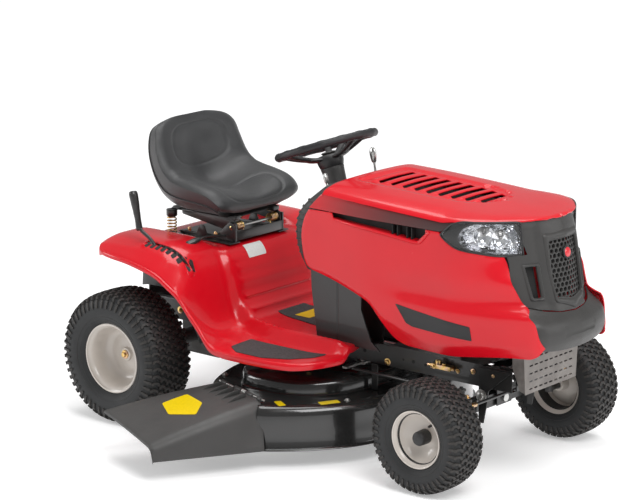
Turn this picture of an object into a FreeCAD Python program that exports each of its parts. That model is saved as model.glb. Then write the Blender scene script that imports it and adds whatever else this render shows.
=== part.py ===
"""Riding lawn mower with a side-discharge deck, as a FreeCAD parametric document.

Frame: +Z up, ground at z = 0, front of the mower towards -Y, the mower's right side towards -X.
The origin lies on the ground, on the centreline, midway between the two axles.
"""
import FreeCAD, Part
import math
import os
import Sketcher

Vector = FreeCAD.Vector
doc = FreeCAD.newDocument("RidingMower")
sheet = doc.addObject("Spreadsheet::Sheet", "Dims")

DIMENSIONS = {
    "wheelbase": 1250, "rear_track_half": 415, "front_track_half": 375,
    "rear_tyre_radius": 227, "rear_tyre_width": 200, "rear_bead_radius": 101.6, "rear_flange_radius": 120,
    "front_tyre_radius": 179, "front_tyre_width": 146, "front_bead_radius": 76.2,
    "front_flange_radius": 93,
    "shaft_radius": 9.5, "running_gap": 0.05, "body_gap": 0.5, "sheet_gauge": 3, "plate_gauge": 5,
    "rail_offset": 130, "rail_base": 285, "rail_height": 70, "rail_flange": 25,
    "rail_front": -770, "rail_rear": 785,
    "kingpin_offset": 285, "axle_beam_base": 200, "axle_beam_height": 42, "tie_rod_reach": 86,
    "drag_arm_reach": 85, "sector_back": -160,
    "axle_pivot_radius": 8,
    "hood_half_width": 270, "hood_top": 896, "hood_rear": -12, "hood_front": -868, "hood_low": 410,
    "belt_line": 800, "hood_gauge": 4, "hood_pin_forward": -800, "hood_pin_height": 452,
    "footboard_height": 333, "footboard_half_width": 460, "footboard_front": -300,
    "seat_deck_height": 585, "fender_rear": 745, "tunnel_half_width": 170,
    "deck_half_width": 480, "deck_front": -330, "deck_rear": 350, "deck_low": 60, "deck_high": 200,
    "deck_gauge": 3, "blade_offset": 231, "blade_radius": 224, "blade_height": 80,
    "steering_radius": 165, "steering_grip": 14, "steering_back": 90, "steering_height": 950,
    "steering_tilt": 20,
    "seat_half_width": 225, "seat_front": 235, "seat_back": 742, "seat_low": 690, "seat_high": 800,
    "seat_top": 1004, "spring_top": 655, "seat_hinge_back": 400, "seat_hinge_height": 646,
    "lever_offset": 360, "lift_shaft_back": 330, "lift_shaft_height": 312, "lift_shaft_radius": 9,
    "lift_arm_reach": 115,
    "hitch_hole_radius": 9.5, "hitch_back": 822,
}


class Size:
    """A length that carries both its number and the sheet expression that gives it."""

    def __init__(self, number, text):
        self.number = number
        self.text = text

    def __add__(self, other):
        return Size(self.number + number(other), f"({self.text} + {text(other)})")

    def __radd__(self, other):
        return Size(number(other) + self.number, f"({text(other)} + {self.text})")

    def __sub__(self, other):
        return Size(self.number - number(other), f"({self.text} - {text(other)})")

    def __rsub__(self, other):
        return Size(number(other) - self.number, f"({text(other)} - {self.text})")

    def __mul__(self, other):
        return Size(self.number * number(other), f"({self.text} * {text(other)})")

    __rmul__ = __mul__

    def __truediv__(self, other):
        return Size(self.number / number(other), f"({self.text} / {text(other)})")

    def __neg__(self):
        return Size(-self.number, f"(0 - {self.text})")


def number(length):
    return length.number if isinstance(length, Size) else float(length)


def text(length):
    return length.text if isinstance(length, Size) else f"({length:.6f})"


class Sizes:
    """Every alias of the sheet, as an attribute."""


S = Sizes()
for row, (alias, value) in enumerate(DIMENSIONS.items(), start=1):
    sheet.set(f"A{row}", alias)
    sheet.set(f"B{row}", str(value))
    sheet.setAlias(f"B{row}", alias)
    setattr(S, alias, Size(float(value), f"Dims.{alias}"))
doc.recompute()

NODES = []
TURNS = {
    "X": FreeCAD.Rotation(Vector(0, 1, 0), 90),
    "Y": FreeCAD.Rotation(Vector(1, 0, 0), -90),
    "Z": FreeCAD.Rotation(),
}


# ---------------------------------------------------------------- building blocks

def bind(thing, path, length):
    """Set a property from a number, or bind it to the sheet."""
    if isinstance(length, Size):
        thing.setExpression(path, length.text)
    elif not path.startswith("Placement"):
        setattr(thing, path, length)


def place(thing, base, rotation=None):
    start = Vector(*(number(length) for length in base))
    thing.Placement = FreeCAD.Placement(start, rotation or FreeCAD.Rotation())
    for axis, length in zip("xyz", base):
        bind(thing, f"Placement.Base.{axis}", length)
    return thing


def box(low, high):
    """A block between two opposite corners."""
    block = doc.addObject("Part::Box", "Block")
    for path, start, end in zip(("Length", "Width", "Height"), low, high):
        bind(block, path, end - start)
    return place(block, low)


def tilted_box(size, centre, rotation):
    """A block of a given size turned about its own centre."""
    block = doc.addObject("Part::Box", "Block")
    for path, length in zip(("Length", "Width", "Height"), size):
        bind(block, path, length)
    half = Vector(*(-number(length) / 2 for length in size))
    corner = Vector(*(number(length) for length in centre)) + rotation.multVec(half)
    block.Placement = FreeCAD.Placement(corner, rotation)
    return block


def rod(radius, length, start, axis="Z", rotation=None):
    bar = doc.addObject("Part::Cylinder", "Rod")
    bind(bar, "Radius", radius)
    bind(bar, "Height", length)
    return place(bar, start, rotation or TURNS[axis])


def rod_between(radius, start, end):
    """A round bar from one point to another."""
    low = Vector(*(number(length) for length in start))
    span = Vector(*(number(length) for length in end)) - low
    return rod(radius, span.Length, start, rotation=FreeCAD.Rotation(Vector(0, 0, 1), span))


def cone(radius_low, radius_high, length, start, axis="Z"):
    taper = doc.addObject("Part::Cone", "Taper")
    bind(taper, "Radius1", radius_low)
    bind(taper, "Radius2", radius_high)
    bind(taper, "Height", length)
    return place(taper, start, TURNS[axis])


def fuse(*pieces):
    whole = doc.addObject("Part::MultiFuse", "Joined")
    whole.Shapes = list(pieces)
    whole.Refine = True
    return whole


def cut(base, *tools):
    remainder = doc.addObject("Part::Cut", "Cut")
    remainder.Base = base
    remainder.Tool = tools[0] if len(tools) == 1 else fuse(*tools)
    return remainder


def common(first, second):
    shared = doc.addObject("Part::MultiCommon", "Shared")
    shared.Shapes = [first, second]
    return shared


def group(*pieces):
    """Separate solids that share one node."""
    together = doc.addObject("Part::Compound", "Set")
    together.Links = list(pieces)
    return together


def mirrored(source):
    """The same piece on the other side of the centreline."""
    twin = doc.addObject("Part::Mirroring", "Twin")
    twin.Source = source
    twin.Normal = Vector(1, 0, 0)
    return twin


def both_sides(piece):
    return group(piece, mirrored(piece))


def node(label, thing):
    thing.Label = label
    NODES.append(thing)
    return thing


def origin_feature(body, role):
    return next(item for item in body.Origin.OriginFeatures if item.Role == role)


def new_body():
    return doc.addObject("PartDesign::Body", "Piece")


def draw(body, plane, outlines=(), circles=(), offset=0):
    """A fully dimensioned sketch of straight-sided outlines and circles on an origin plane."""
    sketch = body.newObject("Sketcher::SketchObject", "Sketch")
    sketch.AttachmentSupport = [(origin_feature(body, plane), "")]
    sketch.MapMode = "FlatFace"
    sketch.AttachmentOffset = FreeCAD.Placement(Vector(0, 0, number(offset)), FreeCAD.Rotation())
    if isinstance(offset, Size):
        sketch.setExpression("AttachmentOffset.Base.z", offset.text)
    for outline in outlines:
        first = sketch.GeometryCount
        corners = [Vector(number(a), number(b), 0) for a, b in outline]
        last = first + len(corners) - 1
        for index, corner in enumerate(corners):
            sketch.addGeometry(Part.LineSegment(corner, corners[(index + 1) % len(corners)]))
        for index, (across, up) in enumerate(outline):
            line = first + index
            following = first if line == last else line + 1
            sketch.addConstraint(Sketcher.Constraint("Coincident", line, 2, following, 1))
            for kind, length in (("DistanceX", across), ("DistanceY", up)):
                spot = sketch.addConstraint(Sketcher.Constraint(kind, -1, 1, line, 1, number(length)))
                if isinstance(length, Size):
                    sketch.setExpression(f"Constraints[{spot}]", length.text)
    for across, up, radius in circles:
        ring = sketch.addGeometry(
            Part.Circle(Vector(number(across), number(up), 0), Vector(0, 0, 1), number(radius)))
        rules = (("DistanceX", (-1, 1, ring, 3), across), ("DistanceY", (-1, 1, ring, 3), up),
                 ("Radius", (ring,), radius))
        for kind, ends, length in rules:
            spot = sketch.addConstraint(Sketcher.Constraint(kind, *ends, number(length)))
            if isinstance(length, Size):
                sketch.setExpression(f"Constraints[{spot}]", length.text)
    return sketch


def pad(body, sketch, length, name="PartDesign::Pad"):
    """Grow (or cut, as a Pocket) a sketch equally to both sides of its plane."""
    feature = body.newObject(name, "Grow")
    feature.Profile = sketch
    feature.Midplane = True
    bind(feature, "Length", length)
    body.Tip = feature
    return feature


def plate(plane, outline, thickness, base=(0, 0, 0), circles=(), offset=0):
    """A flat plate drawn on an origin plane, half its thickness to either side of it."""
    body = new_body()
    pad(body, draw(body, plane, [outline], circles, offset), thickness)
    return place(body, base)


def turned(outline, base, axis="X"):
    """A piece of revolution: the outline gives (along the axis, radius) corners."""
    body = new_body()
    sketch = draw(body, "XY_Plane", [outline])
    spin = body.newObject("PartDesign::Revolution", "Turned")
    spin.Profile = sketch
    spin.ReferenceAxis = (sketch, ["H_Axis"])
    spin.Angle = 360
    body.Tip = spin
    turns = {"X": FreeCAD.Rotation(), "Y": FreeCAD.Rotation(Vector(0, 0, 1), 90),
             "Z": FreeCAD.Rotation(Vector(0, 1, 0), -90)}
    return place(body, base, turns[axis])


def lofted(sections, cores=()):
    """A hull through outlines on planes across the mower, with a hollow lofted out of it.

    Each section is (y, [(x, z), ...]); the cores are sections too.
    """
    body = new_body()
    for kind, stations in (("PartDesign::AdditiveLoft", sections), ("PartDesign::SubtractiveLoft", cores)):
        if not stations:
            continue
        sketches = [draw(body, "XZ_Plane", [outline], offset=-back) for back, outline in stations]
        loft = body.newObject(kind, "Loft")
        loft.Profile = sketches[0]
        loft.Sections = sketches[1:]
        loft.Ruled = True
        body.Tip = loft
    return body


def mirror_outline(half):
    """Close a right-hand half outline (x negative) across the centreline."""
    return list(half) + [(-x, z) for x, z in reversed(half)]


# ---------------------------------------------------------------- frame

def frame_rail(side):
    """A folded channel with its flanges towards the centreline, bored for the lift shaft."""
    outer = side * S.rail_offset
    inner = side * (S.rail_offset - S.sheet_gauge)
    lip = side * (S.rail_offset - S.rail_flange)
    low = S.rail_base
    high = S.rail_base + S.rail_height
    section = [(outer, low), (outer, high), (lip, high), (lip, high - S.sheet_gauge),
               (inner, high - S.sheet_gauge), (inner, low + S.sheet_gauge), (lip, low + S.sheet_gauge),
               (lip, low)]
    middle = (S.rail_front + S.rail_rear) / 2
    body = new_body()
    pad(body, draw(body, "XZ_Plane", [section]), S.rail_rear - S.rail_front)
    bore = rod(S.lift_shaft_radius + S.running_gap, 60, (side * S.rail_offset - 30, S.lift_shaft_back,
                                                         S.lift_shaft_height), "X")
    return cut(place(body, (0, middle, 0)), bore)


def cross_members():
    """Cross pieces between the rails, the engine plate on top, the tower's legs and the hood's posts."""
    inside = S.rail_offset - S.rail_flange - 0.5
    web = S.rail_offset - S.sheet_gauge
    floor = S.rail_base + S.sheet_gauge
    high = S.rail_base + S.rail_height
    pieces = [box((-web, middle - 20, floor), (web, middle + 20, floor + 3)) for middle in (-300, 230)]
    pieces.append(box((-inside, S.rail_front, S.rail_base), (inside, S.rail_front + 4, high)))
    slab = box((-S.rail_offset - 5, -660, high), (S.rail_offset + 5, -290, high + 4))
    pieces.append(cut(slab, rod(30, 20, (0, -440, high - 8))))
    legs = [box((side * 107 - 3, -240, high + 1), (side * 107 + 3, -80, 640)) for side in (-1, 1)]
    feet = [box((side * 150 - 46, -240, high), (side * 150 + 46, -80, high + 5)) for side in (-1, 1)]
    pieces.append(fuse(*legs, *feet, box((-196, -200, 634), (196, -60, 638))))
    for side in (-1, 1):
        wall = box((side * 111 - 3, S.hood_pin_forward - 9, high),
                   (side * 111 + 3, S.rail_front + 6, S.hood_pin_height + 9))
        pin = rod(6, 22, (side * 119 - 11, S.hood_pin_forward, S.hood_pin_height), "X")
        foot = box((side * 109 - 5, S.rail_front - 10, high), (side * 109 + 5, S.rail_front + 60, high + 5))
        pieces.append(fuse(wall, pin, foot))
    return group(*pieces)


def hitch_plate():
    """Rear plate with a rearward tongue that carries the towing hole."""
    wall = box((-S.rail_offset, S.rail_rear, 250), (S.rail_offset, S.rail_rear + S.plate_gauge, 400))
    tongue = box((-60, S.rail_rear, 250), (60, S.hitch_back + 25, 250 + S.plate_gauge + 1))
    hole = rod(S.hitch_hole_radius, 40, (0, S.hitch_back, 235))
    return cut(fuse(wall, tongue), hole)


def axle_support(side):
    """Triangular plate hung on a rail, just ahead of the axle beam."""
    outline = [(-645, 168), (-643, 350), (-768, 350), (-705, 296), (-682, 276), (-678, 240), (-664, 168)]
    return plate("YZ_Plane", outline, 4, (side * (S.rail_offset + 2.2), 0, 0),
                 circles=[(-661, 262, 10.2)])


def axle_brackets():
    """The two support plates, and the channel whose walls carry the axle's pivot bolt."""
    half = S.rail_offset - S.rail_flange - 1
    back = -S.wheelbase / 2
    high = S.rail_base + 30
    top = box((-half, back - 26, high), (half, back + 26, high + 4))
    walls = [box((-40, back + edge - 2, 200), (40, back + edge + 2, high)) for edge in (-22, 22)]
    bore = rod(S.axle_pivot_radius, 90, (0, back - 45, 221), "Y")
    return group(axle_support(-1), axle_support(1), cut(fuse(top, *walls), bore))


def frame_bolts():
    """The pivot bolt of the axle and a large bolt through each support plate."""
    back = -S.wheelbase / 2
    pivot = fuse(rod(S.axle_pivot_radius, 62, (0, back - 30, 221), "Y"),
                 rod(13, 8, (0, back - 32, 221), "Y"))
    shank = rod(10, 9, (S.rail_offset + 0.2, -661, 262), "X")
    head = rod(15, 9, (S.rail_offset + 4.4, -661, 262), "X")
    bolt = fuse(shank, head)
    return group(pivot, bolt, mirrored(bolt))


def muffler_guard():
    """Slotted steel plate under the nose, with flanges folded back at both sides."""
    half_low, half_high, low, high = 139, 149, 292, 432
    body = new_body()
    pad(body, draw(body, "XZ_Plane", [[(-half_low, low), (half_low, low), (half_high, high),
                                       (-half_high, high)]]), 2)
    doc.recompute()
    pitch, length, tall = 27, 17, 5
    rows = []
    for row in range(5):
        z = 304 + row * 25
        rows.append([(-117, z), (-117 + length, z), (-117 + length, z + tall), (-117, z + tall)])
    slots = pad(body, draw(body, "XZ_Plane", rows), 30, "PartDesign::Pocket")
    spread = body.newObject("PartDesign::LinearPattern", "Spread")
    spread.Originals = [slots]
    spread.Direction = (origin_feature(body, "X_Axis"), [""])
    spread.Length = pitch * 8
    spread.Occurrences = 9
    body.Tip = spread
    face = place(body, (0, -826, 0))
    flanges, struts = [], []
    for side in (-1, 1):
        flanges.append(plate("YZ_Plane", [(-826, low + 2), (-805, low + 8), (-775, high - 60), (-775,
                                                                                                high - 2),
                                          (-826, high - 2)], 2, (side * (half_low - 3), 0, 0)))
        struts.append(box((side * 75 - 12, -826, 297), (side * 75 + 12, S.rail_front, 300)))
    return fuse(face, *flanges, *struts)


def axle_beam():
    """Box beam that rocks on the pivot bolt, with a boss at each end for the kingpin."""
    back = -S.wheelbase / 2
    low = S.axle_beam_base
    bar = box((-S.kingpin_offset + 8, back - 15, low), (S.kingpin_offset - 8, back + 15,
                                                        low + S.axle_beam_height))
    bosses = [rod(14, 84, (side * S.kingpin_offset, back, 192)) for side in (-1, 1)]
    bores = [rod(S.shaft_radius + S.running_gap, 120, (side * S.kingpin_offset, back, 180)) for side in (-1,
                                                                                                         1)]
    pivot = rod(S.axle_pivot_radius + S.running_gap, 60, (0, back - 30, 221), "Y")
    return cut(fuse(bar, *bosses), *bores, pivot)


ARM_LOW, ARM_HIGH = 282, 290


def steering_knuckle(side):
    """Kingpin, stub axle and steering arms, in one piece; the right one has a second, inward arm."""
    back = -S.wheelbase / 2
    pin_across = side * S.kingpin_offset
    pin = rod(S.shaft_radius, 128, (pin_across, back, 170))
    shoulder = rod(13, 21, (pin_across, back, 170))
    reach = S.front_track_half + 46 - S.kingpin_offset
    start = S.kingpin_offset if side > 0 else -S.kingpin_offset - reach
    stub = rod(S.shaft_radius, reach, (start, back, S.front_tyre_radius), "X")
    collar = rod(13, 5.6, (pin_across, back, 276.4))
    arm = box((pin_across - 11, back - S.tie_rod_reach - 11, ARM_LOW), (pin_across + 11, back + 11, ARM_HIGH))
    holes = [rod(6, 30, (pin_across, back - S.tie_rod_reach, 275))]
    arms = [arm]
    if side < 0:
        inner = pin_across + S.drag_arm_reach
        arms.append(box((pin_across, back - 11, ARM_LOW), (inner + 11, back + 11, ARM_HIGH)))
        holes.append(rod(6, 30, (inner, back, 275)))
    return cut(fuse(pin, shoulder, stub, collar, *arms), *holes)


def tie_rod():
    """Rod across the front that joins the two steering arms, with a ball stud at each end."""
    back = -S.wheelbase / 2 - S.tie_rod_reach
    pieces = [rod(5, 2 * S.kingpin_offset, (-S.kingpin_offset, back, 265), "X")]
    for side in (-1, 1):
        across = side * S.kingpin_offset
        pieces += [rod(5.9, 40, (across, back, 256)), rod(11, 20, (across, back, 255))]
    return fuse(*pieces)


def drag_link():
    """Rod from the right knuckle back towards the steering sector, open at its rear end."""
    back = -S.wheelbase / 2
    across = -S.kingpin_offset + S.drag_arm_reach
    length = S.sector_back - 24 - back
    return fuse(rod(5, length, (across, back, 276), "Y"), rod(5.9, 24, (across, back, 272)),
                rod(11, 11.5, (across, back, 270.2)))


def steering_sector():
    """Toothed quadrant under the tower, turned by the pinion at the foot of the column."""
    across = -S.kingpin_offset + S.drag_arm_reach
    pivot = across + S.drag_arm_reach
    body = new_body()
    radius, teeth, depth = 84, 9, 5
    outline = [(-14, -16), (14, -16)]
    for tooth in range(teeth):
        for share, height in ((0.0, 0), (0.25, depth), (0.5, depth), (0.75, 0)):
            turn = math.radians(-27 + (tooth + share) * 6)
            outline.append(((radius + height) * math.cos(turn), (radius + height) * math.sin(turn)))
    outline.append((-14, 16))
    pad(body, draw(body, "XY_Plane", [outline]), 6)
    quadrant = place(body, (pivot, S.sector_back, 276))
    arm = box((across - 10, S.sector_back - 9, 273), (pivot + 12, S.sector_back + 9, 279))
    return fuse(quadrant, arm, rod(8, 18, (pivot, S.sector_back, 266.5)))


# ---------------------------------------------------------------- wheels

def tyre(radius, width, bead, across, back):
    """Round-shouldered ring with its beads on the rim."""
    half = width / 2
    outline = [(-half * 0.62, bead), (-half * 0.94, bead + 14), (-half, radius * 0.74), (-half * 0.95,
                                                                                         radius * 0.88),
               (-half * 0.78, radius * 0.965), (-half * 0.4, radius), (half * 0.4, radius),
               (half * 0.78, radius * 0.965), (half * 0.95, radius * 0.88), (half, radius * 0.74),
               (half * 0.94, bead + 14), (half * 0.62, bead)]
    return turned(outline, (across, back, radius))


def rim(bead, flange, width, across, back, radius, side, bore, hub_radius, dish, hub_half):
    """Pressed dish with rolled flanges and a hub tube."""
    half = width * 0.31
    gauge = 3
    outline = [(-half - 10, bead + 4), (-half - 10, bead - gauge), (-half, bead - gauge - 6),
               (dish - 4, bead - gauge - 12), (dish - 4, hub_radius), (dish - hub_half, hub_radius),
               (dish - hub_half, bore), (dish + hub_half, bore), (dish + hub_half, hub_radius),
               (dish, hub_radius), (dish, bead - gauge - 12), (half, bead - gauge - 6),
               (half + 10, bead - gauge), (half + 10, bead + 4), (half + 7, bead + 4),
               (half + 7, bead), (-half - 7, bead), (-half - 7, bead + 4)]
    wheel = turned([(side * along, height) for along, height in outline], (across, back, radius))
    ends = []
    for edge in (-1, 1):
        lip = turned([(edge * (half + 10), bead + 2), (edge * (half + 14), bead + 2), (edge * (half + 14),
                                                                                       flange),
                      (edge * (half + 10), flange)], (across, back, radius))
        ends.append(lip)
    return fuse(wheel, *ends)


def rear_wheel(side, word):
    across = side * S.rear_track_half
    back = S.wheelbase / 2
    radius = S.rear_tyre_radius
    ring = tyre(radius, S.rear_tyre_width, S.rear_bead_radius, across, back)
    wheel = rim(S.rear_bead_radius, S.rear_flange_radius, S.rear_tyre_width, across, back, radius, side,
                S.shaft_radius, 20, -4, 40)
    node(f"rear_tyre_{word}", cut(ring, wheel_envelope(S.rear_bead_radius, S.rear_flange_radius,
                                                       S.rear_tyre_width,
                                                       across, back, radius)))
    node(f"rear_rim_{word}", wheel)
    length = 398
    start = 58 if side > 0 else -58 - length
    node(f"rear_axle_shaft_{word}", rod(S.shaft_radius, length, (start, back, radius), "X"))


def wheel_envelope(bead, flange, width, across, back, radius):
    """The space that a rim's flanges take, which the tyre beads fit around."""
    half = width * 0.31
    pieces = []
    for edge in (-1, 1):
        low = edge * (half + 6.5)
        pieces.append(turned([(low, bead - 20), (edge * (half + 60), bead - 20), (edge * (half + 60),
                                                                                  flange + 0.5),
                              (low + edge * 3, flange + 0.5), (low, bead + 5)], (across, back, radius)))
    return fuse(*pieces)


def front_wheel(side, word):
    across = side * S.front_track_half
    back = -S.wheelbase / 2
    radius = S.front_tyre_radius
    ring = tyre(radius, S.front_tyre_width, S.front_bead_radius, across, back)
    node(f"front_tyre_{word}", cut(ring, wheel_envelope(S.front_bead_radius, S.front_flange_radius,
                                                        S.front_tyre_width, across, back, radius)))
    node(f"front_rim_{word}", rim(S.front_bead_radius, S.front_flange_radius, S.front_tyre_width, across,
                                  back,
                                  radius, side, S.shaft_radius + S.running_gap, 19, -4, 45))


# ---------------------------------------------------------------- hood

def hood_half(width, low, top):
    """Right half of the hood's cross-section, from the low edge up to the centreline."""
    return [(-width * 0.97, low), (-width, low + 150), (-width * 0.985, S.belt_line - 10),
            (-width * 0.9, S.belt_line + 25), (-width * 0.74, top - 22), (-width * 0.45, top)]


def hood_shell():
    """Thin shell, open at the bottom, the front and the back."""
    stations = [(S.hood_rear, 0.925, -3), (-300, 0.99, 0), (-620, 0.97, -14), (S.hood_front, 0.80, -42)]
    outer, core = [], []
    for index, (back, share, drop) in enumerate(stations):
        width = S.hood_half_width * share
        outer.append((back, mirror_outline(hood_half(width, 380, S.hood_top + drop))))
        reach = -6 if index == len(stations) - 1 else (6 if index == 0 else 0)
        core.append((back + reach, mirror_outline(hood_half(width - S.hood_gauge, 370,
                                                            S.hood_top + drop - S.hood_gauge))))
    return lofted(outer, core)


def side_prism(outline, near, far):
    """A bar across one side of the hood, drawn in side view."""
    return plate("YZ_Plane", outline, far - near, ((near + far) / 2, 0, 0))


HEADLIGHT = [(-575, 782), (-640, 838), (-800, 858), (-858, 850), (-880, 800), (-878, 768), (-788, 747),
             (-682, 747), (-613, 764)]


def hood_parts():
    """The hood panel with its louvres, and the headlight lenses let flush into it."""
    low_cut = plate("YZ_Plane", [(60, 300), (60, 905), (-70, 905), (-22, 790), (0, 740), (-8, 650), (-52,
                                                                                                     600),
                                 (-161, 568), (-290, 534), (-335, 492), (-395, 427), (-440, 411),
                                 (-620, 408), (-790, 424), (-900, 440), (-900, 300)], 700)
    shell = cut(hood_shell(), low_cut)
    louvre = new_body()
    slot = [(-105, -226), (105, -226), (105, -212), (-105, -212)]
    pad(louvre, draw(louvre, "XY_Plane", [slot], offset=S.hood_top), 80)
    rows = louvre.newObject("PartDesign::LinearPattern", "Rows")
    rows.Originals = [louvre.Tip]
    rows.Direction = (origin_feature(louvre, "Y_Axis"), [""])
    rows.Reversed = True
    rows.Length = 50 * 8
    rows.Occurrences = 9
    louvre.Tip = rows
    lights = side_prism(HEADLIGHT, -300, -150)
    node("hood", cut(shell, louvre, lights, mirrored(lights)))
    node("headlight_lenses", both_sides(common(shell, lights)))


def grille_surround():
    """Dark nose moulding that closes the front of the hood."""
    rear = [(-212, 442), (-214, 640), (-208, 790), (-180, 838), (-120, 852)]
    middle = [(-185, 445), (-186, 640), (-176, 760), (-150, 820), (-110, 838)]
    front = [(-128, 458), (-128, 560), (-118, 700), (-100, 760), (-70, 775)]
    stations = ((-868.5, rear), (-905, middle), (-948, front))
    outer = [(back, mirror_outline(half)) for back, half in stations]
    core = []
    for (back, half), reach in zip(stations, (10, 2, 5)):
        inset = [(x + 5, z + (6 if index == 0 else -6)) for index, (x, z) in enumerate(half)]
        core.append((back + reach, mirror_outline(inset)))
    shell = lofted(outer, core)
    mesh_window = plate("XZ_Plane", mirror_outline([(-70, 570), (-96, 600), (-88, 745), (-60, 765)]), 60,
                        (0, -940, 0))
    side_vent = plate("XZ_Plane", [(-160, 585), (-142, 585), (-142, 725), (-160, 725)], 80, (0, -900, 0))
    return cut(shell, mesh_window, side_vent, mirrored(side_vent))


def grille_mesh():
    """Hexagon mesh behind the nose, in a frame of its own."""
    body = new_body()
    outline = mirror_outline([(-66, 572), (-92, 602), (-84, 743), (-57, 762)])
    pad(body, draw(body, "XZ_Plane", [outline]), 4)
    doc.recompute()
    holes = []
    pitch = 17
    for row in range(-5, 6):
        for column in range(-4, 5):
            across = column * pitch + (pitch / 2 if row % 2 else 0)
            up = 668 + row * pitch * 0.87
            if abs(across) < 70 and up < 745 and abs(across) < 52 + (up - 590) * 0.3:
                holes.append((across, up, 6.5))
    pad(body, draw(body, "XZ_Plane", circles=holes), 20, "PartDesign::Pocket")
    return place(body, (0, -938.5, 0))


def hood_hinge():
    """Arms inside the nose that turn on the two hinge pins."""
    arm = fuse(box((122, S.hood_pin_forward - 8, S.hood_pin_height - 10),
                   (126, S.hood_pin_forward + 10, S.hood_pin_height + 40)),
               rod(13, 4, (122, S.hood_pin_forward, S.hood_pin_height), "X"),
               box((122, -895, S.hood_pin_height + 14), (126, S.hood_pin_forward + 10,
                                                         S.hood_pin_height + 40)))
    return both_sides(cut(arm, rod(6.05, 20, (114, S.hood_pin_forward, S.hood_pin_height), "X")))


# ---------------------------------------------------------------- engine bay

def engine_pieces():
    high = S.rail_base + S.rail_height + 4
    crank_back = -440
    block = fuse(box((-95, -545, high), (95, -340, high + 60)), box((-80, -520, high + 60), (80, -360, 560)),
                 box((-60, -620, 430), (60, -520, 520)))
    node("engine_block", cut(block, rod(12.55, 260, (0, crank_back, high - 20))))
    node("blower_housing", fuse(rod(118, 60, (0, crank_back, 560.5)), cone(118, 80, 45, (0, crank_back,
                                                                                         620.5)),
                                rod(45, 30, (0, crank_back, 665))))
    node("engine_muffler", fuse(rod(42, 170, (-85, -700, 475), "X"), rod(14, 43, (0, -664, 475), "Y")))
    node("fuel_tank", fuse(box((-150, -180, 640), (150, -45, 770)), rod(32, 24, (60, -112, 770))))
    shaft = fuse(rod(12.5, 190, (0, crank_back, 262)), rod(58, 14, (0, crank_back, 300)),
                 rod(52, 12, (0, crank_back, 268)))
    node("engine_pulley", cut(shaft, groove(58, 14, crank_back, 300), groove(52, 12, crank_back, 268)))


def groove(radius, height, back, low):
    """V groove around a pulley rim."""
    return turned([(0, radius + 1), (height * 0.8, radius + 1), (height * 0.6, radius - 8),
                   (height * 0.2, radius - 8)], (0, back, low + height * 0.1), "Z")


def transaxle():
    """Gear case between the rear wheels, with a tube round each axle shaft."""
    back = S.wheelbase / 2
    case = box((-56, back - 95, 150), (56, back + 75, 300))
    tube = rod(26, 2 * 285, (-285, back, S.rear_tyre_radius), "X")
    neck = rod(30, 10, (0, back - 40, 300))
    bore = rod(S.shaft_radius + S.running_gap, 700, (-350, back, S.rear_tyre_radius), "X")
    return cut(fuse(case, tube, neck), bore)


def belt_loop(low, wide, high, first, second, radius_first, radius_second):
    """Flat-sided belt running round two pulleys."""
    rings = []
    for grow in (0, -wide):
        start = Vector(*first, 0)
        end = Vector(*second, 0)
        along = (end - start).normalize()
        across = Vector(-along.y, along.x, 0)
        r_one = radius_first + grow
        r_two = radius_second + grow
        lean = math.asin((r_one - r_two) / (end - start).Length)
        corners = []
        for sign in (1, -1):
            touch = along * math.sin(lean) + across * sign * math.cos(lean)
            corners.append((start + touch * r_one, end + touch * r_two))
        edges = [Part.LineSegment(corners[0][0], corners[0][1]).toShape(),
                 Part.Arc(corners[0][1], end + along * r_two, corners[1][1]).toShape(),
                 Part.LineSegment(corners[1][1], corners[1][0]).toShape(),
                 Part.Arc(corners[1][0], start - along * r_one, corners[0][0]).toShape()]
        rings.append(Part.Face(Part.Wire(edges)))
    loop = rings[0].cut(rings[1]).extrude(Vector(0, 0, high))
    loop.translate(Vector(0, 0, low))
    return loop


def feature(shape):
    thing = doc.addObject("Part::Feature", "Shaped")
    thing.Shape = shape
    return thing


# ---------------------------------------------------------------- tower and controls

def tower_panel(side):
    """Grey side panel between the hood and the frame, with a groove down its face."""
    outline = [(-38, 352), (-14, 520), (-10, 640), (-60, 700), (-220, 700), (-222, 480), (-262, 380), (-300,
                                                                                                       352)]
    face = plate("YZ_Plane", outline, 6, (side * 200, 0, 0))
    cover = 203 if side > 0 else -203
    slot = box((cover - 1.2, -128, 352), (cover + 1.2, -122, 660))
    foot = box((side * 200 - 3 if side > 0 else -203, -250, 352), (side * 200 + 3 if side > 0 else -197,
                                                                   -60, 356))
    return cut(fuse(face, foot), slot)


def dash_panel():
    """Console behind the hood: a curved cover over the tower, with holes for the controls."""
    outline = [(6, 560), (20, 640), (18, 740), (-2, 790), (-50, 830), (-110, 868), (-118, 862), (-60, 818),
               (-14, 780), (6, 735), (8, 640), (-4, 562)]
    cover = plate("YZ_Plane", outline, 440)
    frame = plate("XZ_Plane", mirror_outline(hood_half(S.hood_half_width * 0.925 - 12, 380,
                                                       S.hood_top - 14)), 200,
                  (0, -40, 0))
    tilt = FreeCAD.Rotation(Vector(1, 0, 0), -sheet.steering_tilt)
    foot = Vector(0, sheet.steering_back, sheet.steering_height) - tilt.multVec(Vector(0, 0, 300))
    holes = [rod(12, 300, tuple(foot), rotation=tilt), box((82, -82, 790), (102, -12, 880)),
             box((-136, -62, 770), (-124, 6, 856)),
             rod(11.5, 80, (-70, -48, 788), rotation=FreeCAD.Rotation(Vector(1, 0, 0), -40))]
    return cut(common(cover, frame), *holes)


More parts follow.
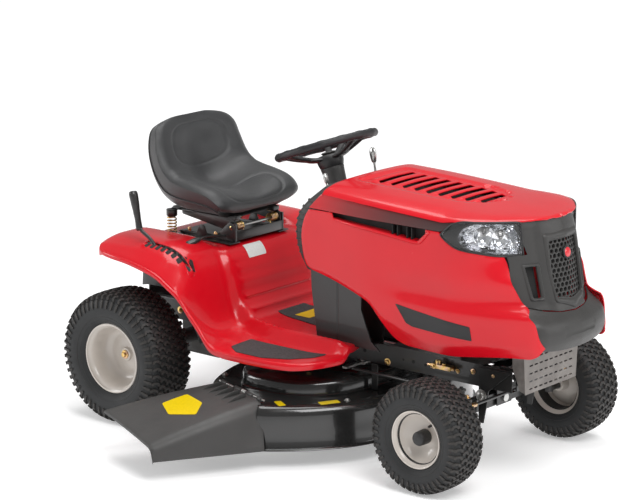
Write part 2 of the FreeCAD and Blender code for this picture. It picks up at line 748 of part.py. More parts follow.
def steering_parts():
    tilt = FreeCAD.Rotation(Vector(1, 0, 0), -sheet.steering_tilt)
    along = tilt.multVec(Vector(0, 0, 1))
    hub = Vector(0, sheet.steering_back, sheet.steering_height)
    radius, grip = sheet.steering_radius, sheet.steering_grip

    def at(distance):
        spot = hub + along * distance
        return (spot.x, spot.y, spot.z)

    ring = doc.addObject("Part::Torus", "Rim")
    bind(ring, "Radius1", S.steering_radius)
    bind(ring, "Radius2", S.steering_grip)
    place(ring, (0, S.steering_back, S.steering_height), tilt)
    spokes = []
    for angle in (30, 150, 270):
        turn = math.radians(angle)
        reach = tilt.multVec(Vector(math.cos(turn), math.sin(turn), 0))
        dish = tilt.multVec(Vector(0, 0, -46))
        inner = hub + reach * 24 + dish
        outer = hub + reach * (radius - grip * 0.5)
        spokes.append(rod_between(11, tuple(inner), tuple(outer)))
    boss = rod(38, 34, at(-66), rotation=tilt)
    wheel = fuse(ring, *spokes, boss)
    node("steering_wheel", cut(wheel, rod(9.5, 40, at(-80), rotation=tilt)))
    shaft = fuse(rod(9.4, 672, at(-722), rotation=tilt), rod(25, 14, at(-722), rotation=tilt))
    node("steering_shaft", shaft)
    boot = rod(33, 92, at(-160), rotation=tilt)
    node("column_boot", cut(boot, rod(12, 200, at(-200), rotation=tilt)))


def lever(start, bend, end, radius, grip_radius, grip_from):
    """Bent rod with a thicker grip on its end."""
    grip_start = Vector(*bend) + (Vector(*end) - Vector(*bend)) * grip_from
    return fuse(rod_between(radius, start, bend), rod_between(radius, bend, end),
                rod_between(grip_radius, tuple(grip_start), end))


def dash_controls():
    """Throttle, blade lever and ignition key, each standing through the dash."""
    node("throttle_lever", lever((-130, -36, 790), (-130, -20, 838), (-130, -14, 866), 3, 8, 0.3))
    node("blade_lever", lever((92, -52, 815), (92, -42, 885), (92, -34, 925), 4, 11, 0.2))
    slope = FreeCAD.Rotation(Vector(1, 0, 0), -40)
    along = slope.multVec(Vector(0, 0, 1))
    spot = Vector(-70, -27, 813)
    barrel = rod(11, 26, tuple(spot), rotation=slope)
    bow = tilted_box((20, 4, 18), tuple(spot + along * 34), slope)
    node("ignition_key", fuse(barrel, bow))


def lift_lever():
    """Cross shaft in the rails with two arms for the deck, and the hand lever at its right end."""
    across, back, high = -S.lever_offset, S.lift_shaft_back, S.lift_shaft_height
    shaft = rod(S.lift_shaft_radius, S.lever_offset + 160, (across, back, high), "X")
    arms = [box((side * 144 - 3, back - S.lift_arm_reach - 10, high - 12), (side * 144 + 3, back, high - 2))
            for side in (-1, 1)]
    start = (-360, 330, 312)
    slot = (-360, 551, 627)
    bend = (-360, 606, 652)
    top = (-360, 634, 777)
    return fuse(shaft, *arms, rod(14, 12, (across - 6, back, high), "X"), rod_between(6, start, slot),
                rod_between(6, slot, bend), rod_between(6, bend, top), rod_between(14, bend, top))


def notch_plate():
    """Row of notches beside the lever's slot."""
    outline = [(365, 540)]
    for step in range(7):
        base = 378 + step * 25
        rise = 556 + step * 6.2
        outline += [(base, rise + 22), (base + 12, rise + 25), (base + 12, rise + 10), (base + 25, rise + 16)]
    outline += [(560, 618), (560, 575)]
    return plate("YZ_Plane", outline, 3, (-S.lever_offset + 10.5, 0, 0))


def brake_pedal():
    """Pedal on a cross pivot under the left footboard."""
    pivot = (300, -200, 290)
    shaft = rod(6, 210, (135, pivot[1], pivot[2]), "X")
    arm = fuse(box((338, -345, 284), (344, -194, 296)), box((338, -351, 284), (344, -339, 430)))
    pad_plate = tilted_box((90, 8, 70), (341, -349, 436), FreeCAD.Rotation(Vector(1, 0, 0), -25))
    return fuse(shaft, arm, pad_plate)


def seat_lever():
    """Small lever with a rubber grip at the right of the seat bracket."""
    return lever((-131.5, 425, 617), (-215, 436, 628), (-290, 462, 610), 4, 10, 0.15)


# ---------------------------------------------------------------- fenders and seat

def fender_body():
    """Footboards, riser, seat deck and fenders pressed as one skin with turned-down edges."""
    gauge = S.sheet_gauge
    floor = S.footboard_height
    top = S.seat_deck_height
    outline = [(-330, floor), (150, floor), (215, floor + 14), (262, floor + 60), (330, floor + 170),
               (385, floor + 236), (430, top + 6), (560, top + 14), (690, top + 4), (S.fender_rear, top - 34)]
    inner = [(x + 2, z - gauge) for x, z in reversed(outline)]
    skin = new_body()
    pad(skin, draw(skin, "YZ_Plane", [outline + inner]), 2 * S.footboard_half_width)
    skirt = plate("YZ_Plane", [(-150, floor - 22), (-150, floor - 0.5), (150, floor - 0.5), (215, floor + 13),
                               (262, floor + 58), (330, floor + 168), (385, floor + 234), (430, top + 4),
                               (560, top + 12), (690, top + 2), (S.fender_rear, top - 36),
                               (S.fender_rear - 6, top - 62), (620, 552), (450, 520), (333, 460), (250, 388),
                               (180, 330), (107, 309)], gauge, (-S.footboard_half_width + gauge / 2, 0, 0))
    corner = plate("XY_Plane", [(-470, -140), (-470, -340), (-205, -340), (-215, -312), (-330, -250), (-420,
                                                                                                       -185),
                                (-460, -140)], 60, (0, 0, floor))
    nose = box((-150, -340, floor - 10), (150, -295, floor + 10))
    tower_gap = box((-206, -340, floor - 10), (206, -30, floor + 10))
    slot = box((-S.lever_offset - 10, 360, 500), (-S.lever_offset + 14, 572, 640))
    tunnel = box((-S.tunnel_half_width, -29.5, floor - 0.5), (S.tunnel_half_width, 232, floor + 38))
    tunnel_core = box((-S.tunnel_half_width + gauge, -40, floor - 8), (S.tunnel_half_width - gauge, 300,
                                                                       floor + 35))
    whole = fuse(cut(skin, tunnel_core), skirt, mirrored(skirt), cut(tunnel, tunnel_core))
    return cut(whole, corner, mirrored(corner), nose, tower_gap, slot)


def seat_base():
    """Folded bracket on the seat deck, with ears for the seat's hinge."""
    top = S.seat_deck_height
    slab = box((-130, 395, top + 14.5), (130, 640, top + 18.5))
    ear = cut(box((118, 385, top + 14.5), (124, 425, S.seat_hinge_height + 14)),
              rod(5, 30, (110, S.seat_hinge_back, S.seat_hinge_height), "X"))
    pin = rod(5, 20, (107, S.seat_hinge_back, S.seat_hinge_height), "X")
    return fuse(slab, ear, pin, mirrored(ear), mirrored(pin))


def seat_pan():
    """Pressed pan under the cushion, hinged at its front, with a foot above each spring."""
    low = S.seat_low - 9
    pan = box((-170, 330, low), (170, 690, low + 4))
    arms, feet = [], []
    for side in (-1, 1):
        arms.append(cut(box((side * 112.5 - 2, 388, S.seat_hinge_height - 12), (side * 112.5 + 2, 640,
                                                                                low + 1)),
                        rod(5.05, 30, (side * 112.5 - 15, S.seat_hinge_back, S.seat_hinge_height), "X")))
        feet.append(rod(20, low + 1 - S.spring_top - 0.4, (side * 150, 655, S.spring_top + 0.4)))
    return fuse(pan, *arms, *feet)


def seat_cushion():
    """Bucket seat: a thick cushion with the back rising from its rear edge."""
    half = S.seat_half_width
    cushion = lofted([(S.seat_back, mirror_outline([(-half * 0.8, S.seat_low + 14), (-half, S.seat_low + 40),
                                                    (-half * 0.94, S.seat_high - 15)])),
                      (S.seat_front + 120, mirror_outline([(-half * 0.8, S.seat_low), (-half,
                                                                                       S.seat_low + 46),
                                                           (-half * 0.93, S.seat_high - 6)])),
                      (S.seat_front, mirror_outline([(-half * 0.5, S.seat_low + 40), (-half * 0.6,
                                                                                      S.seat_low + 62),
                                                     (-half * 0.5, S.seat_high - 14)]))])
    back = new_body()
    outline = mirror_outline([(-half, S.seat_high - 30), (-half * 0.97, S.seat_high + 60),
                              (-half * 0.8, S.seat_top - 30), (-half * 0.55, S.seat_top)])
    pad(back, draw(back, "XZ_Plane", [outline]), 95)
    place(back, (0, S.seat_back - 75, 0))
    return fuse(cushion, back)


def seat_springs():
    """Envelope of the two coil springs that the seat sits on."""
    low = S.seat_deck_height + 8
    sleeves = [cut(rod(17, S.spring_top - low, (side * 150, 655, low)), rod(12.5, 200, (side * 150, 655,
                                                                                        560)))
               for side in (-1, 1)]
    return group(*sleeves)


# ---------------------------------------------------------------- cutting deck

def deck_outline(grow=0):
    half = S.deck_half_width + grow
    return [(-half, -70), (-half + 60, -215), (-255, S.deck_front + 25 - grow), (-120, S.deck_front - grow),
            (120, S.deck_front - grow), (255, S.deck_front + 25 - grow), (half - 60, -215), (half, -70),
            (half, 130), (half - 130, 290), (250, S.deck_rear + grow), (-200, S.deck_rear + grow),
            (-half + 130, 290), (-half, 215)]


def deck_shell():
    """Deep pressing, open below and at its right-hand side where the grass leaves."""
    tall = S.deck_high - S.deck_low
    middle = (S.deck_high + S.deck_low) / 2
    outer = plate("XY_Plane", deck_outline(), tall, (0, 0, middle))
    core = plate("XY_Plane", deck_outline(-S.deck_gauge), tall, (0, 0, middle - S.deck_gauge))
    mouth = [box((-600, -60, S.deck_low - 20), (-436, 250, S.deck_high + 1)),
             box((-440, -35, S.deck_low - 20), (-400, 205, S.deck_high - 8))]
    bores = [rod(30, 30, (side * S.blade_offset, 10, S.deck_high - 15)) for side in (-1, 1)]
    return cut(outer, core, *mouth, *bores)


def belt_cover():
    """Low cover over the deck's pulleys."""
    low = S.deck_high + 0.2
    tall = 49
    outline = [(-330, -140), (-240, -226), (240, -226), (330, -140), (330, 130), (240, 200), (-240, 200),
               (-330, 130)]
    middle = low + tall / 2
    outer = plate("XY_Plane", outline, tall, (0, 0, middle))
    inner = plate("XY_Plane", [(x * 0.985, y * 0.98) for x, y in outline], tall, (0, 0, middle - 3))
    return cut(outer, inner)


def deck_pieces():
    housings = []
    for side, word in ((-1, "right"), (1, "left")):
        across = side * S.blade_offset
        housing = fuse(rod(29.5, 60, (across, 10, 150)), rod(52, 6, (across, 10, S.deck_high + 0.2)))
        housings.append(cut(housing, rod(10.05, 100, (across, 10, 140))))
        bar = box((across - S.blade_radius, -18, S.blade_height), (across + S.blade_radius, 42,
                                                                   S.blade_height + 4))
        tips = [box((across + end * (S.blade_radius - 62) - 60, 30 if end > 0 else -14, S.blade_height + 4),
                    (across + end * (S.blade_radius - 62) + 60, 38 if end > 0 else -6, S.blade_height + 18))
                for end in (-1, 1)]
        node(f"blade_{word}", fuse(bar, *tips, rod(20, 6, (across, 10, S.blade_height + 4))))
        shaft = fuse(rod(10, 138, (across, 10, S.blade_height + 10)), rod(48, 14, (across, 10, 218)),
                     rod(11, 8, (across, 10, 210)))
        node(f"spindle_pulley_{word}", cut(shaft, groove_at(across, 48, 14, 10, 218)))
    node("spindle_housings", group(*housings))
    node("deck_belt", feature(belt_loop(222.5, 6.5, 5, (-sheet.blade_offset, 10), (sheet.blade_offset, 10),
                                        47, 47)))


def groove_at(across, radius, height, back, low):
    return place(groove(radius, height, back, low), (across, back, low + height * 0.1),
                 FreeCAD.Rotation(Vector(0, 1, 0), -90))


CHUTE = {"hinge_rear": (-425, 187, 210), "hinge_front": (-505, -59, 210), "out_front": (-872, 100, 132),
         "out_rear": (-762, 398, 150), "low_front": (-545, -92, 66), "low_out": (-862, 88, 78)}


def discharge_chute():
    """Deflector: a sloped roof with a wall down its front side."""
    corner = {name: Vector(*spot) for name, spot in CHUTE.items()}
    gauge = 4

    def slab(names, push):
        low = [corner[name] for name in names]
        high = [spot + push for spot in low]
        solids = None
        for first, second, third in ((0, 1, 2), (0, 2, 3)):
            near = Part.Face(Part.makePolygon([low[first], low[second], low[third], low[first]]))
            wedge = near.extrude(high[0] - low[0])
            solids = wedge if solids is None else solids.fuse(wedge)
        return solids

    roof = slab(("hinge_rear", "hinge_front", "out_front", "out_rear"), Vector(0, 0, -gauge))
    wall = slab(("hinge_front", "low_front", "low_out", "out_front"), Vector(1.0, gauge, 0))
    return roof.fuse(wall).removeSplitter()


def deck_links():
    """Bars that hang the deck from the lift shaft, front and rear."""
    bars = []
    for back in (-240, 215):
        bars.append(box((150, back - 12, 204), (155, back + 12, 290)))
    return group(*bars, *[mirrored(bar) for bar in bars])


# ---------------------------------------------------------------- assembly

def build():
    node("frame_rails", group(frame_rail(-1), frame_rail(1)))
    node("cross_members", cross_members())
    node("hitch_plate", hitch_plate())
    node("axle_brackets", axle_brackets())
    node("frame_bolts", frame_bolts())
    node("muffler_guard", muffler_guard())
    node("axle_beam", axle_beam())
    for side, word in ((-1, "right"), (1, "left")):
        node(f"steering_knuckle_{word}", steering_knuckle(side))
        front_wheel(side, word)
        rear_wheel(side, word)
    node("tie_rod", tie_rod())
    node("drag_link", drag_link())
    node("steering_sector", steering_sector())
    hood_parts()
    node("grille_surround", grille_surround())
    node("grille_mesh", grille_mesh())
    node("hood_hinge_arms", hood_hinge())
    engine_pieces()
    node("transaxle", transaxle())
    node("tower_panels", group(tower_panel(-1), tower_panel(1)))
    node("dash_panel", dash_panel())
    steering_parts()
    dash_controls()
    node("lift_lever", lift_lever())
    node("notch_plate", notch_plate())
    node("brake_pedal", brake_pedal())
    node("seat_lever", seat_lever())
    node("fender_body", fender_body())
    node("seat_base", seat_base())
    node("seat_pan", seat_pan())
    node("seat_cushion", seat_cushion())
    node("seat_springs", seat_springs())
    node("deck_shell", deck_shell())
    node("belt_cover", belt_cover())
    deck_pieces()
    node("discharge_chute", feature(discharge_chute()))
    node("deck_links", deck_links())


build()
doc.recompute()

faults = [thing.Label for thing in doc.Objects if {"Invalid", "Error"} & set(thing.State)]
for thing in NODES:
    if thing.Shape.isNull() or not thing.Shape.isValid() or thing.Shape.Volume <= 0:
        faults.append(thing.Label)
if faults:
    raise RuntimeError("these objects failed: " + ", ".join(faults))

os.makedirs("parts", exist_ok=True)
for thing in NODES:
    thing.Shape.exportStep(f"parts/{thing.Label}.step")
    bounds = thing.Shape.BoundBox
    count, volume = len(thing.Shape.Solids), thing.Shape.Volume / 1000
    print(f"{thing.Label:26s} solids {count:2d}  volume {volume:9.1f} cm3  "
          f"x {bounds.XMin:7.1f} {bounds.XMax:7.1f}  y {bounds.YMin:7.1f} {bounds.YMax:7.1f}  "
          f"z {bounds.ZMin:7.1f} {bounds.ZMax:7.1f}")
print(len(NODES), "nodes")
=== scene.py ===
"""Riding lawn mower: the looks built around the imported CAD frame.

Lengths in the geometry code are millimetres in the object's own frame: +Z up, the front towards -Y,
the mower's right side towards -X. Meshes are scaled to metres when they are made.
"""

import bmesh
import bpy
import math
import random
from mathutils import Matrix, Vector
from mathutils.geometry import delaunay_2d_cdt

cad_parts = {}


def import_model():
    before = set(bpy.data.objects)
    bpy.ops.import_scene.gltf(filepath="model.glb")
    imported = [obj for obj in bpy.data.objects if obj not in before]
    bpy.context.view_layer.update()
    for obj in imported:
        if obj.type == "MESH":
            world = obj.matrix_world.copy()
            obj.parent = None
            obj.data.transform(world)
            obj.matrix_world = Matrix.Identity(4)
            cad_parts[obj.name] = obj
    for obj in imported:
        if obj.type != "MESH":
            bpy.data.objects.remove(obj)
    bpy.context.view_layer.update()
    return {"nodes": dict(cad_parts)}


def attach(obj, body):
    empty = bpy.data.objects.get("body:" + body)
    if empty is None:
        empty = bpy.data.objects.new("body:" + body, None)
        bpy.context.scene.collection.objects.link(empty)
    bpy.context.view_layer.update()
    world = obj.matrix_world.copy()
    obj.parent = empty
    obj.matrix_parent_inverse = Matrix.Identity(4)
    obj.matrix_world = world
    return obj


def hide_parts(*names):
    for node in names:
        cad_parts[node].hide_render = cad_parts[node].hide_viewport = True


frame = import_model()
scene = bpy.context.scene
MM = 0.001
random.seed(11)


# ---------------------------------------------------------------- node materials

class Nodes:
    """A material's node tree, with short calls to add and join nodes."""

    def __init__(self, name):
        self.material = bpy.data.materials.new(name)
        self.material.use_nodes = True
        self.tree = self.material.node_tree
        self.shader = next(n for n in self.tree.nodes if n.type == "BSDF_PRINCIPLED")
        self.place = self.add("ShaderNodeTexCoord").outputs["Object"]

    def add(self, kind, **settings):
        node = self.tree.nodes.new(kind)
        for key, value in settings.items():
            if hasattr(node, key):
                setattr(node, key, value)
            else:
                node.inputs[key.replace("_", " ").title()].default_value = value
        return node

    def join(self, out, into):
        self.tree.links.new(out, into)

    def noise(self, scale, detail=4.0, rough=0.55, stretch=None):
        node = self.add("ShaderNodeTexNoise", Scale=scale, Detail=detail, Roughness=rough)
        self.join(self.stretched(stretch), node.inputs["Vector"])
        return node.outputs["Fac"]

    def cells(self, scale, feature="F1", stretch=None, randomness=1.0):
        node = self.add("ShaderNodeTexVoronoi", feature=feature, Scale=scale, Randomness=randomness)
        self.join(self.stretched(stretch), node.inputs["Vector"])
        return node.outputs["Distance"]

    def stretched(self, stretch):
        if stretch is None:
            return self.place
        mapping = self.add("ShaderNodeMapping")
        mapping.inputs["Scale"].default_value = stretch
        self.join(self.place, mapping.inputs["Vector"])
        return mapping.outputs["Vector"]

    def ramp(self, source, stops):
        node = self.add("ShaderNodeValToRGB")
        elements = node.color_ramp.elements
        while len(elements) < len(stops):
            elements.new(0.5)
        for element, (spot, colour) in zip(elements, stops):
            element.position = spot
            element.color = colour if len(colour) == 4 else (*colour, 1)
        self.join(source, node.inputs["Fac"])
        return node.outputs["Color"]

    def spread(self, source, low, high, start=0.0, end=1.0):
        node = self.add("ShaderNodeMapRange")
        for key, value in zip(("From Min", "From Max", "To Min", "To Max"), (start, end, low, high)):
            node.inputs[key].default_value = value
        self.join(source, node.inputs["Value"])
        return node.outputs["Result"]

    def mix(self, share, first, second):
        node = self.add("ShaderNodeMix", data_type="RGBA")
        for value, socket in zip((share, first, second), (node.inputs[0], node.inputs[6], node.inputs[7])):
            if hasattr(value, "is_output"):
                self.join(value, socket)
            else:
                socket.default_value = value if isinstance(value, float) else (*value, 1)
        return node.outputs[2]

    def maths(self, operation, first, second=0.0):
        node = self.add("ShaderNodeMath", operation=operation)
        for value, socket in zip((first, second), node.inputs):
            if hasattr(value, "is_output"):
                self.join(value, socket)
            else:
                socket.default_value = value
        return node.outputs[0]

    def bump(self, height, distance, strength=1.0, after=None):
        node = self.add("ShaderNodeBump")
        node.inputs["Distance"].default_value = distance
        node.inputs["Strength"].default_value = strength
        self.join(height, node.inputs["Height"])
        if after is not None:
            self.join(after, node.inputs["Normal"])
        return node.outputs["Normal"]

    def set(self, **sockets):
        for key, value in sockets.items():
            socket = self.shader.inputs[key.replace("_", " ")]
            if hasattr(value, "is_output"):
                self.join(value, socket)
            else:
                socket.default_value = value
        return self.material


def shade(colour, share):
    return tuple(min(1.0, channel * share) for channel in colour)


def dusted(nodes, colour, dust, amount):
    """The base colour with a faint, patchy film on faces that look up."""
    normal = nodes.add("ShaderNodeNewGeometry").outputs["Normal"]
    axis = nodes.add("ShaderNodeSeparateXYZ")
    nodes.join(normal, axis.inputs[0])
    patchy = nodes.maths("MULTIPLY", nodes.noise(14.0, 6.0), nodes.spread(axis.outputs[2], 0.2, 1.0))
    return nodes.mix(nodes.maths("MULTIPLY", patchy, amount), colour, dust)


def worn(nodes, colour, bare, amount):
    """Brighter where edges stand out."""
    edge = nodes.add("ShaderNodeNewGeometry").outputs["Pointiness"]
    share = nodes.maths("MULTIPLY", nodes.spread(edge, 0.0, amount, 0.52, 0.62), nodes.noise(60.0))
    return nodes.mix(share, colour, bare)


def paint(name, colour, rough=0.22, coat=0.6, peel=0.00012, vary=0.92, specular=0.5):
    """Glossy enamel: orange peel, slight unevenness of colour and gloss, a film of dust."""
    nodes = Nodes(name)
    tone = nodes.ramp(nodes.noise(5.0, 5.0), [(0.3, shade(colour, vary)), (0.7, colour)])
    tone = dusted(nodes, tone, (0.45, 0.40, 0.36), 0.03)
    normal = nodes.bump(nodes.noise(260.0, 2.0), peel, 0.35)
    return nodes.set(Base_Color=tone, Roughness=nodes.spread(nodes.noise(30.0), rough * 0.8, rough * 1.25),
                     Normal=normal, Coat_Weight=coat, Coat_Roughness=0.035, Specular_IOR_Level=specular)


def plastic(name, colour, rough=0.45, grain=900.0, depth=0.00018, vary=0.85, dust=0.08):
    """Moulded plastic with a spark-eroded grain."""
    nodes = Nodes(name)
    tone = nodes.ramp(nodes.noise(8.0, 6.0), [(0.3, shade(colour, vary)), (0.7, colour)])
    tone = dusted(nodes, tone, (0.30, 0.28, 0.26), dust)
    height = nodes.maths("ADD", nodes.cells(grain), nodes.noise(grain * 1.7, 2.0))
    return nodes.set(Base_Color=tone, Roughness=nodes.spread(nodes.noise(40.0), rough * 0.85, rough * 1.2),
                     Normal=nodes.bump(height, depth, 0.5), Specular_IOR_Level=0.45)


def metal(name, colour, second, rough=0.32, brushed=None, scale=25.0, depth=0.0002, metallic=1.0):
    """Bare or plated metal: two tones, scratches along one direction, dull patches."""
    nodes = Nodes(name)
    tone = nodes.ramp(nodes.noise(scale, 7.0, 0.65), [(0.35, second), (0.65, colour)])
    tone = worn(nodes, tone, shade(colour, 1.5), 0.5)
    height = nodes.noise(500.0, 3.0, 0.6, brushed or (1, 1, 1))
    return nodes.set(Base_Color=tone, Metallic=metallic, Normal=nodes.bump(height, depth, 0.4),
                     Roughness=nodes.spread(nodes.noise(scale * 2, 5.0), rough * 0.7, rough * 1.5))


def rubber(name, colour, rough=0.62, dust=0.35, fine=700.0):
    """Tyre rubber: matt, finely pitted, browner where it picks up dust."""
    nodes = Nodes(name)
    tone = nodes.ramp(nodes.noise(9.0, 8.0), [(0.3, shade(colour, 0.7)), (0.7, colour)])
    tone = worn(nodes, tone, (0.11, 0.09, 0.075), dust)
    height = nodes.maths("ADD", nodes.noise(fine, 3.0), nodes.cells(fine * 0.5))
    return nodes.set(Base_Color=tone, Roughness=nodes.spread(nodes.noise(22.0, 6.0), rough * 0.8,
                                                             rough * 1.15),
                     Normal=nodes.bump(height, 0.0003, 0.5), Specular_IOR_Level=0.4)


def vinyl():
    """Seat vinyl: leather grain in two sizes, soft sheen, rubbed patches."""
    nodes = Nodes("seat_vinyl")
    tone = nodes.ramp(nodes.noise(7.0, 6.0), [(0.3, (0.012, 0.0125, 0.0135)), (0.7, (0.022, 0.0225, 0.024))])
    grain = nodes.add("ShaderNodeTexVoronoi", feature="DISTANCE_TO_EDGE", Scale=420.0)
    nodes.join(nodes.place, grain.inputs["Vector"])
    creases = nodes.spread(grain.outputs["Distance"], 0.0, 1.0, 0.0, 0.12)
    height = nodes.maths("ADD", creases, nodes.noise(1300.0, 3.0))
    soft = nodes.bump(nodes.noise(28.0, 3.0), 0.0008, 0.25)
    return nodes.set(Base_Color=tone, Normal=nodes.bump(height, 0.00016, 0.55, soft), Specular_IOR_Level=0.5,
                     Roughness=nodes.spread(nodes.noise(18.0, 5.0), 0.34, 0.50),
                     Sheen_Weight=0.15, Sheen_Roughness=0.5)


def yellow_zinc():
    """Yellow-passivated zinc with its drifting pink and green tints."""
    nodes = Nodes("yellow_zinc")
    tone = nodes.ramp(nodes.noise(70.0, 4.0), [(0.25, (0.55, 0.33, 0.12)), (0.45, (0.72, 0.50, 0.18)),
                                               (0.6, (0.66, 0.42, 0.30)), (0.8, (0.60, 0.58, 0.28))])
    return nodes.set(Base_Color=tone, Metallic=1.0, Roughness=nodes.spread(nodes.noise(120.0), 0.2, 0.42),
                     Normal=nodes.bump(nodes.noise(800.0, 2.0), 0.0001, 0.4))


def stripe_paint():
    """Side stripe: dark brown that fades into the red towards the rear."""
    nodes = Nodes("stripe")
    axis = nodes.add("ShaderNodeSeparateXYZ")
    nodes.join(nodes.place, axis.inputs[0])
    along = nodes.spread(axis.outputs[1], 0.0, 1.0, -0.09, -0.60)
    tone = nodes.ramp(along, [(0.0, (0.52, 0.003, 0.010)), (0.25, (0.24, 0.008, 0.010)),
                              (0.6, (0.075, 0.012, 0.012)), (1.0, (0.020, 0.012, 0.012))])
    tone = nodes.mix(nodes.spread(nodes.noise(9.0), 0.0, 0.12), tone, (0.20, 0.02, 0.02))
    return nodes.set(Base_Color=tone, Roughness=nodes.spread(nodes.noise(35.0), 0.2, 0.3), Coat_Weight=0.12,
                     Coat_Roughness=0.04, Specular_IOR_Level=0.3,
                     Normal=nodes.bump(nodes.noise(260.0, 2.0), 0.0001, 0.3))


def foot_pad():
    """Anti-slip pad: coarse pebbled rubber."""
    nodes = Nodes("foot_pad")
    tone = nodes.ramp(nodes.noise(160.0, 5.0, 0.8), [(0.35, (0.020, 0.018, 0.019)),
                                                     (0.7, (0.075, 0.066, 0.068))])
    height = nodes.maths("ADD", nodes.cells(260.0), nodes.noise(500.0))
    return nodes.set(Base_Color=tone, Roughness=nodes.spread(nodes.noise(50.0), 0.7, 0.95),
                     Normal=nodes.bump(height, 0.0012, 0.9))


def label(name, colour, line):
    """Blank sticker: a plain ground with a faint printed border colour and a little wear."""
    nodes = Nodes(name)
    tone = nodes.ramp(nodes.noise(120.0, 5.0), [(0.3, shade(colour, 0.9)), (0.6, colour)])
    tone = nodes.mix(nodes.spread(nodes.noise(30.0), 0.0, 0.1), tone, line)
    return nodes.set(Base_Color=tone, Roughness=nodes.spread(nodes.noise(60.0), 0.25, 0.4),
                     Normal=nodes.bump(nodes.noise(300.0), 0.0001, 0.3), Coat_Weight=0.3, Coat_Roughness=0.08)


def clear_lens():
    nodes = Nodes("clear_lens")
    flutes = nodes.add("ShaderNodeTexWave", Scale=60.0, Distortion=1.5)
    nodes.join(nodes.place, flutes.inputs["Vector"])
    tone = nodes.ramp(nodes.noise(30.0), [(0.3, (0.93, 0.95, 0.96)), (0.7, (0.99, 0.99, 0.99))])
    return nodes.set(Base_Color=tone, Roughness=nodes.spread(nodes.noise(80.0), 0.0, 0.03), IOR=1.3,
                     Transmission_Weight=1.0, Normal=nodes.bump(flutes.outputs["Fac"], 0.0001, 0.1))


def chrome():
    nodes = Nodes("reflector_chrome")
    tone = nodes.ramp(nodes.noise(45.0, 3.0), [(0.35, (0.62, 0.63, 0.66)), (0.65, (0.95, 0.95, 0.96))])
    return nodes.set(Base_Color=tone, Metallic=1.0, Roughness=nodes.spread(nodes.noise(90.0), 0.03, 0.10),
                     Normal=nodes.bump(nodes.cells(90.0), 0.002, 0.35))


RED = paint("red_enamel", (0.62, 0.001, 0.010), rough=0.24, coat=0.28, specular=0.30)
FRAME_BLACK = paint("frame_black", (0.014, 0.014, 0.014), rough=0.34, coat=0.25, peel=0.0002)
DECK_BLACK = paint("deck_black", (0.011, 0.011, 0.011), rough=0.20, coat=0.5)
RIM = paint("rim_grey", (0.60, 0.55, 0.50), rough=0.30, coat=0.4, vary=0.95)
TYRE = rubber("tyre_rubber", (0.021, 0.022, 0.023))
TREAD = rubber("tread_rubber", (0.036, 0.031, 0.028), rough=0.7, dust=0.5)
GRIP = rubber("grip_rubber", (0.020, 0.020, 0.022), rough=0.5, dust=0.1, fine=900.0)
BELT = rubber("belt_rubber", (0.012, 0.012, 0.012), rough=0.7)
DARK = plastic("dark_plastic", (0.034, 0.033, 0.032), rough=0.42)
DASH = plastic("dash_plastic", (0.034, 0.033, 0.032), rough=0.50, grain=700.0)
# Near-black plastic. Behind the long slots, louvres, vents and grille, in the lever notches and on the
# frame's holes it is painted shade for shadowed insides.
BLACK_AND_PAINTED_SHADE = plastic("black_and_painted_shade", (0.008, 0.008, 0.008), rough=0.75)
CHUTE = plastic("chute_plastic", (0.046, 0.045, 0.044), rough=0.46, grain=600.0)
BLACK_PLASTIC = plastic("black_plastic", (0.016, 0.016, 0.017), rough=0.42)
TANK = plastic("tank_plastic", (0.62, 0.60, 0.54), rough=0.5, vary=0.95)
ZINC = metal("zinc", (0.62, 0.62, 0.60), (0.45, 0.45, 0.44), rough=0.3)
YELLOW_ZINC = yellow_zinc()
STEEL = metal("bare_steel", (0.42, 0.41, 0.40), (0.28, 0.27, 0.26), rough=0.35, brushed=(1, 1, 14))
GUARD = metal("guard_steel", (0.27, 0.25, 0.235), (0.18, 0.165, 0.155), rough=0.5, metallic=0.7)
ALLOY = metal("cast_alloy", (0.46, 0.46, 0.45), (0.30, 0.30, 0.29), rough=0.5, depth=0.0006)
CAST = metal("cast_iron", (0.10, 0.10, 0.10), (0.05, 0.048, 0.045), rough=0.6, depth=0.0006, metallic=0.5)
BURNT = metal("burnt_steel", (0.20, 0.15, 0.12), (0.10, 0.06, 0.04), rough=0.6, metallic=0.8)
VINYL = vinyl()
STRIPE = stripe_paint()
PAD = foot_pad()
YELLOW_LABEL = label("yellow_label", (0.85, 0.62, 0.0), (0.30, 0.20, 0.0))
WHITE_LABEL = label("white_label", (0.72, 0.72, 0.70), (0.4, 0.4, 0.4))
LENS = clear_lens()
CHROME = chrome()
BADGE_RED = paint("badge_red", (0.62, 0.01, 0.02), rough=0.25)


# ---------------------------------------------------------------- mesh building

def spline(points, steps=8, closed=False):
    """Smooth curve through points (Catmull-Rom)."""
    points = [Vector(p) for p in points]
    count = len(points)
    out = []
    for index in range(count if closed else count - 1):
        if closed:
            a, b, c, d = (points[(index + k) % count] for k in (-1, 0, 1, 2))
        else:
            b, c = points[index], points[index + 1]
            a = points[index - 1] if index else b * 2 - c
            d = points[index + 2] if index + 2 < count else c * 2 - b
        for step in range(steps):
            t = step / steps
            out.append(((b * 2) + (c - a) * t + (a * 2 - b * 5 + c * 4 - d) * t * t
                        + (b * 3 - a - c * 3 + d) * t ** 3) * 0.5)
    if not closed:
        out.append(points[-1])
    return out


